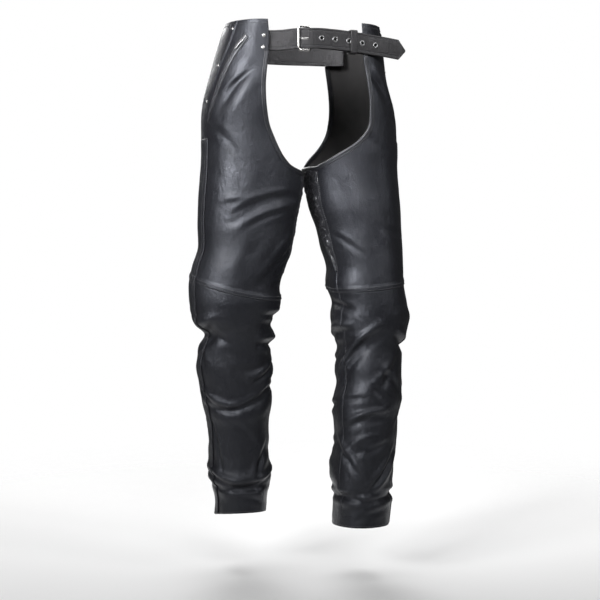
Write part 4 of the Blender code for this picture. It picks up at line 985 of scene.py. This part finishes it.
def placeOn(route, x):
    # the point of a route at a given x, the way ahead in plan and the outward side
    i = int(np.clip(np.searchsorted(route[:, 0], x) - 1, 0, len(route) - 2))
    step = route[i + 1] - route[i]
    ahead = unit(step * (1.0, 1.0, 0.0))
    return route[i] + step * (x - route[i, 0]) / step[0], ahead, np.array((ahead[1], -ahead[0], 0.0))


def boxShape(centre, along, across, upward, sizes):
    corners = np.array([(i, j, k) for i in (-0.5, 0.5) for j in (-0.5, 0.5) for k in (-0.5, 0.5)]) * sizes
    faces = [(0, 1, 3, 2), (4, 6, 7, 5), (0, 4, 5, 1), (2, 3, 7, 6), (0, 2, 6, 4), (1, 5, 7, 3)]
    return carried(corners, centre, *(np.asarray(way) for way in (along, across, upward))), faces


def punched(item, shapes, angle=50.0):
    # cuts shapes out of a piece and keeps the result as its mesh
    punch = newObject("punch", *gathered(shapes), smooth=False)
    boolean = item.modifiers.new("holes", "BOOLEAN")
    boolean.operation, boolean.object, boolean.solver = "DIFFERENCE", punch, "EXACT"
    bpy.context.view_layer.update()
    mesh = bpy.data.meshes.new_from_object(item.evaluated_get(bpy.context.evaluated_depsgraph_get()))
    item.modifiers.clear()
    item.data = mesh
    mesh.shade_smooth()
    mesh.set_sharp_from_angle(angle=math.radians(angle))
    bpy.data.objects.remove(punch)


def tongueStrap():
    route = routeThrough(belt["tongue"], 2.6)
    tip, ahead = route[-1], tangents(route)[-1]
    reach = np.linspace(0.0, belt["point"], 8)[1:]
    route = np.concatenate((route, tip + ahead * reach[:, None]))
    taper = np.interp(reach, *belt["tipTaper"])
    heights = np.concatenate((np.full(len(route) - len(reach), belt["width"] / 2.0), taper))
    item = strap("belt_tongue", route, heights, belt["thick"], belt["crown"])
    spots = [placeOn(route, x) for x in belt["eyelets"]]
    ring, ringFaces = lathe([(belt["eyeletHole"] - 0.15, -6.0), (belt["eyeletHole"] - 0.15, 6.0)], 20)
    holes = [(placed(ring, centre, outward), ringFaces) for centre, _, outward in spots]
    centre, way, outward = placeOn(route, (belt["freeBar"][0] + belt["hingeBar"][0]) / 2.0)
    holes.append(boxShape(centre, way, outward, up, belt["prongSlot"]))
    punched(item, holes)
    dressStrap(item, "belt_tongue")
    for i, (centre, _, outward) in enumerate(spots):
        eyelet(i + 1, centre, outward)
    inset, sewn = belt["stitchInset"], belt["tongueSewn"]
    point = int(np.argmin(np.abs(route[:, 0] - sewn[1])))
    out = np.repeat(outwardFrom(route)[point:point + 1], 6, 0)
    share = np.linspace(0.0, 1.0, 6)[:, None]
    end = route[-1] - ahead * inset * 1.25
    corners = [route[point] + up * side * (belt["width"] / 2.0 - inset) for side in (1.0, -1.0)]
    lift = out * (belt["thick"] / 2.0 + 0.04)
    pointed = [(corner * (1 - share) + end * share + lift, out) for corner in corners]
    strapStitches("belt_tongue_stitches", route, heights, belt["thick"], inset, sewn, pointed)
    return route


def eyelet(number, centre, normal):
    # a rolled nickel ring pressed round the hole, with its barrel down through the strap
    hole, rim, top = belt["eyeletHole"], belt["eyeletRim"], belt["thick"] / 2.0
    middle, tube = (hole + rim) / 2.0, (rim - hole) / 2.0
    profile = [(hole - 0.35, -top), (hole - 0.35, top - 0.2)]
    profile += [(middle - tube * 1.14 * math.cos(t), top + 0.18 + 0.85 * math.sin(t))
                for t in np.linspace(0.15, 3.0, 9)]
    profile += [(rim + 0.05, top - 0.1), (rim - 0.6, top - 0.3), (hole + 0.1, top - 0.35), (hole + 0.1, -top)]
    around, last = 28, (len(profile) - 1) * 28
    points, faces = lathe(profile, around)
    bottom = [(k, (k + 1) % around, last + (k + 1) % around, last + k) for k in range(around)]
    node = "belt_eyelet_%d" % number
    item = newObject(node + "_ring", placed(points, centre, normal), faces[:-2] + bottom)
    dress(item, "eyelet_nickel", node)


def aroundBar(bar, reach, first, last, turn=1.0):
    # points on a bend round an upright bar, from one angle to another
    angles = np.radians(np.arange(first, last, 15))
    return [bar + np.array((math.cos(t), turn * math.sin(t), 0.0)) * reach for t in angles]


def buckleStrap():
    # comes from the left leg, folds round the hinge bar and is stitched to itself
    straight, thick = routeThrough(belt["buckleStrap"], 3.0), belt["thick"] * 0.8
    reach = belt["bar"] + 0.3 + belt["thick"] * 0.4
    bar = np.array((*belt["hingeBar"], belt["level"]))
    bend = [(-4.0, -101.6, belt["level"])] + aroundBar(bar, reach, 106, 288, -1.0)
    route = smoothed(evened(np.concatenate((straight, bend, belt["strapFold"])), 2.4), 1)
    start = lengthsAlong(straight)[-1]
    lengths = np.linspace(0.0, lengthsAlong(route)[-1], len(route))
    high, foldHigh = belt["strapHigh"] / 2.0, belt["foldHigh"] / 2.0
    heights = np.interp(lengths, (0.0, start, start + 8.0), (high, high, foldHigh))
    item = strap("belt_buckle_strap", route, heights, thick)
    punched(item, [boxShape(bar - (1.0, 0.0, 0.0), (1, 0, 0), (0, 1, 0), up, belt["barSlot"])])
    dressStrap(item, "belt_buckle_strap")
    run = straight[::-1]
    strapStitches("buckle_strap_stitches", run, np.full(len(run), high), thick, 4.4, belt["strapSewn"])


def backBand():
    route, thick = routeThrough(belt["backBand"], 3.0), belt["thick"]
    heights = np.full(len(route), belt["backWidth"] / 2.0)
    dressStrap(strap("back_band", route, heights, thick), "back_band")
    strapStitches("back_band_stitches", route[::-1], heights, thick, belt["stitchInset"], belt["bandSewn"])


def rod(points, radius, around, steady=up, flat=1.0, closed=False):
    # a round bar along a line; steady is a direction that the line never runs in
    points = np.array(points, float)
    if closed:
        along = unit(np.roll(points, -1, axis=0) - np.roll(points, 1, axis=0))
    else:
        along = tangents(points)
    side = unit(np.cross(along, steady))
    other = np.cross(along, side)
    radius = np.broadcast_to(np.asarray(radius, float), (len(points),))[:, None, None]
    turn = (2.0 * math.pi * np.arange(around) / around)[None, :, None]
    rings = points[:, None] + radius * (side[:, None] * np.cos(turn) * flat + other[:, None] * np.sin(turn))
    return rings.reshape(-1, 3), tubeFaces(len(points), around, closed)


def fourCorners(steps):
    # the four rounded corners of a frame: the signs of each corner and the bend's cosine and sine
    for turn, (across, high) in zip((0, 90, 180, 270), ((1, 1), (-1, 1), (-1, -1), (1, -1))):
        for t in np.radians(np.linspace(turn, turn + 90, steps)):
            yield across, high, math.cos(t), math.sin(t)


def buckle():
    left = np.array((*belt["freeBar"], belt["level"]))
    right = np.array((*belt["hingeBar"], belt["level"]))
    half, middle, corner = np.linalg.norm(right - left) / 2.0, (left + right) / 2.0, 4.0
    along, wide, high = (right - left) / (2.0 * half), half - corner, belt["frameHalf"] - corner
    line = [middle + along * (x * wide + corner * cosine) + up * (z * high + corner * sine)
            for x, z, cosine, sine in fourCorners(9)]
    line = evened(np.array(line + line[:1]), 1.6)[:-1]
    frameBar = rod(line, belt["bar"], 16, np.array((0.12, -0.99, 0.0)), 1.35, closed=True)
    dress(newObject("buckle_frame_bar", *frameBar), "buckle_nickel", "buckle_frame")
    eye = aroundBar(right, belt["bar"] + 0.3 + belt["prong"], 0, 226)
    line = smoothed(evened(np.concatenate((eye, belt["prongShank"])), 1.0), 2)
    toTip = np.minimum(1.0, 0.45 + np.linspace(len(line), 0.0, len(line)) / 3.0)
    pin = newObject("buckle_prong_pin", *rod(line, belt["prong"] * toTip, 12))
    dress(pin, "buckle_nickel", "buckle_prong")


def keeper(route):
    # a leather loop, pressed over both straps, its ends joined behind
    centre, ahead, outward = placeOn(route, belt["keeperPlace"])
    front, rear, corner = belt["thick"] / 2.0 + belt["keeperRoom"], -belt["keeperDepth"], belt["keeperCorner"]
    middle, deep = (front + rear) / 2.0, (front - rear) / 2.0 - corner
    high = belt["width"] / 2.0 + belt["keeperSlack"] - corner
    line = [(middle + x * deep, z * high, cosine, sine) for x, z, cosine, sine in fourCorners(7)]
    line = evened(np.array(line + line[:1]), 1.5)[:-1]
    line[:, 2:] = unit(line[:, 2:])
    band = belt["keeperBand"] / 2.0
    # half of its section: distance in from the edge and rise, with a pressed line along it
    inner = ((0.0, 0.35), (0.25, 0.06), (0.9, 0.0))
    outer = ((0.0, 1.1), (0.3, 1.55), (0.9, 1.74), (2.0, 1.62), (2.5, 1.74))
    section = [(x - band, rise) for x, rise in inner] + [(0.0, 0.0)]
    section += [(band - x, rise) for x, rise in inner[::-1] + outer] + [(0.0, 1.88)]
    section += [(x - band, rise) for x, rise in outer[::-1]]
    rings = [centre + outward * (x + (corner + rise) * cosine) + up * (z + (corner + rise) * sine)
             + ahead * side for x, z, cosine, sine in line for side, rise in section]
    dressStrap(newObject("belt_keeper_loop", rings, tubeFaces(len(line), len(section), True)), "belt_keeper")


pocketZip = {
    "line": [(25, 8), (33, -7), (40, -21), (50, -51), (56, -73), (63, -101), (71, -135)],
    "slider": 0.12, "sliderSize": (9.0, 7.6, 2.4), "seat": 2.0, "pivot": 0.9, "bail": 2.4, "bailHigh": 2.5,
    "pull": (17.0, 5.4, 1.2), "window": 3.6, "toothPitch": 1.5, "tooth": (0.85, 2.3, 0.7), "toothRise": 0.95,
    # share of the way down the zip, then the lips' width, the gap between them, and how far both ends sink
    "width": ((0.0, 0.02, 0.6, 0.97, 1.0), (4.6, 6.0, 6.0, 4.0, 2.2)),
    "gap": ((0.0, 0.02, 0.13, 0.19, 0.96, 1.0), (0.5, 2.2, 2.2, 1.5, 1.3, 0.3)),
    "ends": ((0.0, 0.02, 0.98, 1.0), (0.35, 1.0, 1.0, 0.35)),
    "stitches": ((0.0, 0.5, 1.0), (8.2, 7.6, 4.4))}


def zipPlaces(shares):
    # angle and level at shares of the way down the zip
    rows = pocketZip["line"]
    values = curveThrough([(i / (len(rows) - 1), *row) for i, row in enumerate(rows)], shares)
    return values[..., 0], values[..., 1]


def zipFrame(leg, shares, plain=False):
    # places along the zip, with the directions down it, across it and out of the leather
    shares = np.asarray(shares, float)
    points, normal = skin(leg, *zipPlaces(shares), plain), skinNormal(leg, *zipPlaces(shares))
    down = skin(leg, *zipPlaces(shares + 0.02), True) - skin(leg, *zipPlaces(shares - 0.02), True)
    across = unit(np.cross(normal, down))
    return points, np.cross(across, normal), across, normal


def zipRibbon(name, zipLine, section, ends):
    # a section of places across and heights over the leather, carried down the zip and sunk at its ends
    points, _, across, normal = zipLine
    sides = np.stack([np.broadcast_to(side, ends.shape) for side, _ in section], 1)
    rises = np.stack([rise * ends for _, rise in section], 1)
    return swept(name, points, across, normal, sides, rises)


def pocketWelt(leg):
    # two leather lips beside the closed zip, a little further apart above the slider
    shares = np.linspace(0.0, 1.0, 90)
    zipLine = zipFrame(leg, shares)
    width, gap, ends = (np.interp(shares, *pocketZip[name]) for name in ("width", "gap", "ends"))
    lip = [(width, 0.3), (width, 0.7), (width - 0.5, 1.05), (gap + 2.6, 1.3), (gap + 1.6, 1.75),
           (gap + 0.7, 1.8), (gap, 1.4), (gap, 0.4)]
    section = lip + [(-side, rise) for side, rise in lip[::-1]] + [(-0.5 * width, 0.18), (0.5 * width, 0.18)]
    welt = zipRibbon("pocket_zip_welt", zipLine, section, ends)
    dress(welt, "tape_leather", "pocket_zip_tape")
    # dull, near-black tape at the bottom of the slit: the zip's own tape, made darker than cloth as painted
    # shade in the slit
    cloth = zipRibbon("pocket_zip_painted_shade_cloth", zipLine, [(-gap, 0.2), (-gap, 0.36), (gap, 0.36), (gap, 0.2)], ends)
    dress(cloth, "zip_painted_shade_cloth")
    return float(lengthsAlong(zipLine[0])[-1])


def zipTeeth(leg, length):
    # the teeth show above the slider, where the zip is open, and lie under the tape below it
    places = np.linspace(0.015, 0.985, int(length / pocketZip["toothPitch"]))
    teeth = []
    for i, (point, down, across, normal) in enumerate(zip(*zipFrame(leg, places))):
        rise = pocketZip["toothRise"] if places[i] < pocketZip["slider"] else 0.0
        middle = point + across * (0.55 if i % 2 else -0.55) + normal * rise
        teeth.append(boxShape(middle, down, across, normal, pocketZip["tooth"]))
    dress(newObject("pocket_zip_teeth", *gathered(teeth), smooth=False), "zip_metal")


def pocketStitches(leg, lift=0.12):
    shares = np.linspace(0.0, 1.0, 60)
    points, down, across, normal = zipFrame(leg, shares)
    spread = np.interp(shares, *pocketZip["stitches"])[:, None]
    lines = [(points + across * spread * side + normal * lift, normal) for side in (-1.0, 1.0)]
    for i, beyond in ((0, -3.0), (-1, 2.5)):
        row = points[i] + down[i] * beyond + across[i] * np.linspace(-1.0, 1.0, 8)[:, None] * spread[i]
        lines.append((row + normal[i] * lift, np.repeat(normal[i][None], 8, 0)))
    seamStitches("pocket_stitches", lines)


def plate(outline, thick, bevel):
    # a flat plate with softened edges, its middle at height 0
    after, before = np.roll(outline, -1, 0), np.roll(outline, 1, 0)
    way = unit(after - before)
    inward = np.stack((-way[:, 1], way[:, 0]), 1)
    inward *= 1.0 if np.cross(outline - before, after - outline).sum() > 0 else -1.0
    edge = ((0.0, 1.0), (0.3, 0.3), (1.0, 0.0))
    side = [(inset * bevel, 0.5 - drop * bevel / thick) for inset, drop in edge]
    rings = [np.column_stack((outline + inward * inset, np.full(len(outline), height * thick)))
             for inset, height in [(inset, -height) for inset, height in side[::-1]] + side]
    return np.concatenate(rings), tubeFaces(len(rings), len(outline))


def roundedOutline(corners, radius):
    # a polygon with its corners rounded
    corners = np.asarray(corners, float)
    points = []
    for i, corner in enumerate(corners):
        to, on = corners[i - 1] - corner, corners[(i + 1) % len(corners)] - corner
        cut = min(radius, 0.45 * np.linalg.norm(to), 0.45 * np.linalg.norm(on))
        first, last = corner + unit(to) * cut, corner + unit(on) * cut
        points += [first * (1 - t) ** 2 + corner * 2 * t * (1 - t) + last * t * t
                   for t in np.linspace(0.0, 1.0, 6)]
    return np.array(points)


def mirrored(half):
    # an outline's corners from those on one side of its long axis, given from one end to the other
    return [(x, -y) for x, y in half] + half[::-1]


def zipSlider(leg):
    # body of two plates on a neck, with the bail that holds the pull
    place, *ways = (value[0] for value in zipFrame(leg, [pocketZip["slider"]], True))
    length, width, height = pocketZip["sliderSize"]
    seat = pocketZip["seat"]
    deck = seat + height
    body = roundedOutline([(-length / 2, -width * 0.36), (-length / 2, width * 0.36), (-0.5, width / 2),
                           (length / 2, width * 0.3), (length / 2, -width * 0.3), (-0.5, -width / 2)], 1.5)
    neck = roundedOutline([(-3.4, -1.0), (-3.4, 1.0), (1.6, 0.7), (1.6, -0.7)], 0.6)
    plates = [(plate(body, 0.95, 0.3), deck - 0.475), (plate(body * (0.96, 0.94), 0.8, 0.25), seat + 0.4),
              (plate(neck, 1.2, 0.05), seat + height / 2.0)]
    shapes = [(carried(points, place + ways[2] * high, *ways), faces) for (points, faces), high in plates]
    reach, top = pocketZip["bail"], pocketZip["bailHigh"]
    rising = [(-reach, -0.5), (-reach, 1.2), (0.5 - reach, 2.1), (1.5 - reach, top)]
    bail = np.array([(x, 0.0, z) for x, z in rising + [(-x, z) for x, z in rising[::-1]]])
    line = carried(smoothed(evened(bail, 0.5), 2), place + ways[2] * deck, *ways)
    outwards = np.cross(tangents(line), ways[1])
    section = [(-0.8, -0.25), (-0.8, 0.25), (-0.6, 0.42), (0.6, 0.42),
               (0.8, 0.25), (0.8, -0.25), (0.6, -0.42), (-0.6, -0.42)]
    arch = [point + ways[1] * side + out * rise
            for point, out in zip(line, outwards) for side, rise in section]
    shapes.append((arch, tubeFaces(len(line), len(section))))
    item = newObject("pocket_zip_slider_body", *gathered(shapes))
    item.data.set_sharp_from_angle(angle=math.radians(50))
    dress(item, "zip_metal", "pocket_zip_slider")
    return place + ways[2] * (deck + pocketZip["pivot"]), *ways


def zipPull(pivot, *ways):
    long, wide, arm = pocketZip["pull"]
    half = wide / 2 - arm
    outlines = [  # the tab, the window at its root and the slot near its tip
        ([(-0.5, wide / 2), (long - 2.0, wide / 2 - 0.4), (long, wide / 2 - 1.4)], 1.1, 1.0, 0.22),
        ([(0.5, half), (pocketZip["window"], half)], 0.5, 3.0, 0.01),
        ([(long - 5.2, 1.0), (long - 2.0, 1.0)], 0.9, 3.0, 0.01)]
    plates = [plate(roundedOutline(mirrored(side), radius), thick, bevel)
              for side, radius, thick, bevel in outlines]
    (tab, tabFaces), *holes = [(carried(points, pivot, *ways), faces) for points, faces in plates]
    item = newObject("pocket_zip_pull_tab", tab, tabFaces)
    punched(item, holes, 35.0)
    dress(item, "zip_metal", "pocket_zip_pull", "zip_pull")


for leg in (rightLeg, leftLeg):
    legPanels(leg)
    stretchGusset(leg)
    sideFlap(leg)
    edgeTape(leg)
    legStitches(leg)
    rivets(leg)
    print("leg", leg["prefix"], "done")
tongueRoute = tongueStrap()
buckleStrap()
buckle()
keeper(tongueRoute)
backBand()
print("belt done")
zipTeeth(rightLeg, pocketWelt(rightLeg))
pocketStitches(rightLeg)
zipPull(*zipSlider(rightLeg))
print("pocket zip done")


lighting = {
    "background": 1.0, "surround": 0.06, "floor": (0.88, 0.88, 0.88, 1.0), "floorLevel": -940.0,
    "floorReach": (420.0, 1500.0),
    # name, place, aim, size, power, spread in degrees
    "lamps": [
        ("key", (-1.4, -1.2, 0.6), (0.0, 0.0, -0.08), (0.5, 1.0), 2.7, 35.0),
        ("side", (-1.9, -0.9, 0.6), (0.05, 0.0, -0.1), (0.6, 1.0), 3.1, 35.0),
        ("front", (0.0, -1.8, 0.9), (0.0, 0.0, -0.12), (1.6, 0.5), 2.2, 37.0),
        ("fill", (1.5, -1.6, 0.8), (0.05, 0.0, -0.12), (0.5, 1.0), 1.0, 37.0),
        ("inseam", (-0.3, -1.8, 0.4), (0.03, -0.03, -0.27), (0.12, 0.2), 0.11, 7.0),
        ("ceiling", (0.0, 0.7, 2.3), (0.0, 0.5, -0.9), (2.6, 2.6), 62.0, 180.0),
        ("behind", (0.3, 2.6, 0.9), (0.0, 0.0, -0.4), (2.2, 1.0), 22.0, 110.0)]}
eyePoint = {"azimuth": -16.0, "pitch": -3.0, "distance": 2.3, "height": -0.328, "lens": 76.9}


def stageFloor():
    # a pale round floor that fades into the surround
    solid, reach = lighting["floorReach"]
    rings = [(radius, lighting["floorLevel"]) for radius in np.linspace(0.0, reach, 24)[1:]]
    points, faces = lathe(rings, 72)
    floor = newObject("studio_floor", points, faces[:-1])
    finish, tree, shader = newFinish("pale_floor")
    flat = scaled(tree, add(tree, "TexCoord")["Object"], (1.0, 1.0, 0.0))
    away = add(tree, "VectorMath", {0: flat}, operation="LENGTH")["Value"]
    feed(tree, shader, {
        "Base Color": lighting["floor"], "Roughness": 0.9, "Specular IOR Level": 0.1,
        "Alpha": remap(tree, away, solid * mm, reach * mm, 1.0, 0.0, "SMOOTHSTEP")})
    floor.data.materials.append(finish)


def stageLight():
    world = bpy.data.worlds.new("studio")
    bpy.context.scene.world = world
    world.use_nodes = True
    tree = world.node_tree
    seen = add(tree, "LightPath")["Is Camera Ray"]
    glow = remap(tree, seen, 0.0, 1.0, lighting["surround"], lighting["background"])
    feed(tree, tree.nodes["Background"], {"Color": (1.0, 1.0, 1.0, 1.0), "Strength": glow})
    for name, place, aim, size, power, spread in lighting["lamps"]:
        lamp = bpy.data.lights.new(name, "AREA")
        lamp.shape = "RECTANGLE"
        lamp.size, lamp.size_y = size
        lamp.energy = power
        lamp.spread = math.radians(spread)
        item = bpy.data.objects.new(name, lamp)
        item.location = Vector(place)
        item.rotation_euler = (Vector(aim) - Vector(place)).to_track_quat("-Z", "Y").to_euler()
        bpy.context.scene.collection.objects.link(item)


def stageCamera():
    eye = bpy.data.cameras.new("camera")
    eye.lens, eye.sensor_width = eyePoint["lens"], 36.0
    camera = bpy.data.objects.new("camera", eye)
    azimuth, distance = math.radians(eyePoint["azimuth"]), eyePoint["distance"]
    camera.location = (math.sin(azimuth) * distance, -math.cos(azimuth) * distance, eyePoint["height"])
    camera.rotation_euler = (math.pi / 2.0 + math.radians(eyePoint["pitch"]), 0.0, azimuth)
    bpy.context.scene.collection.objects.link(camera)
    bpy.context.scene.camera = camera
    bpy.context.scene.view_settings.view_transform = "Standard"


stageFloor()
stageLight()
stageCamera()
print("stage done")
print("scene built")
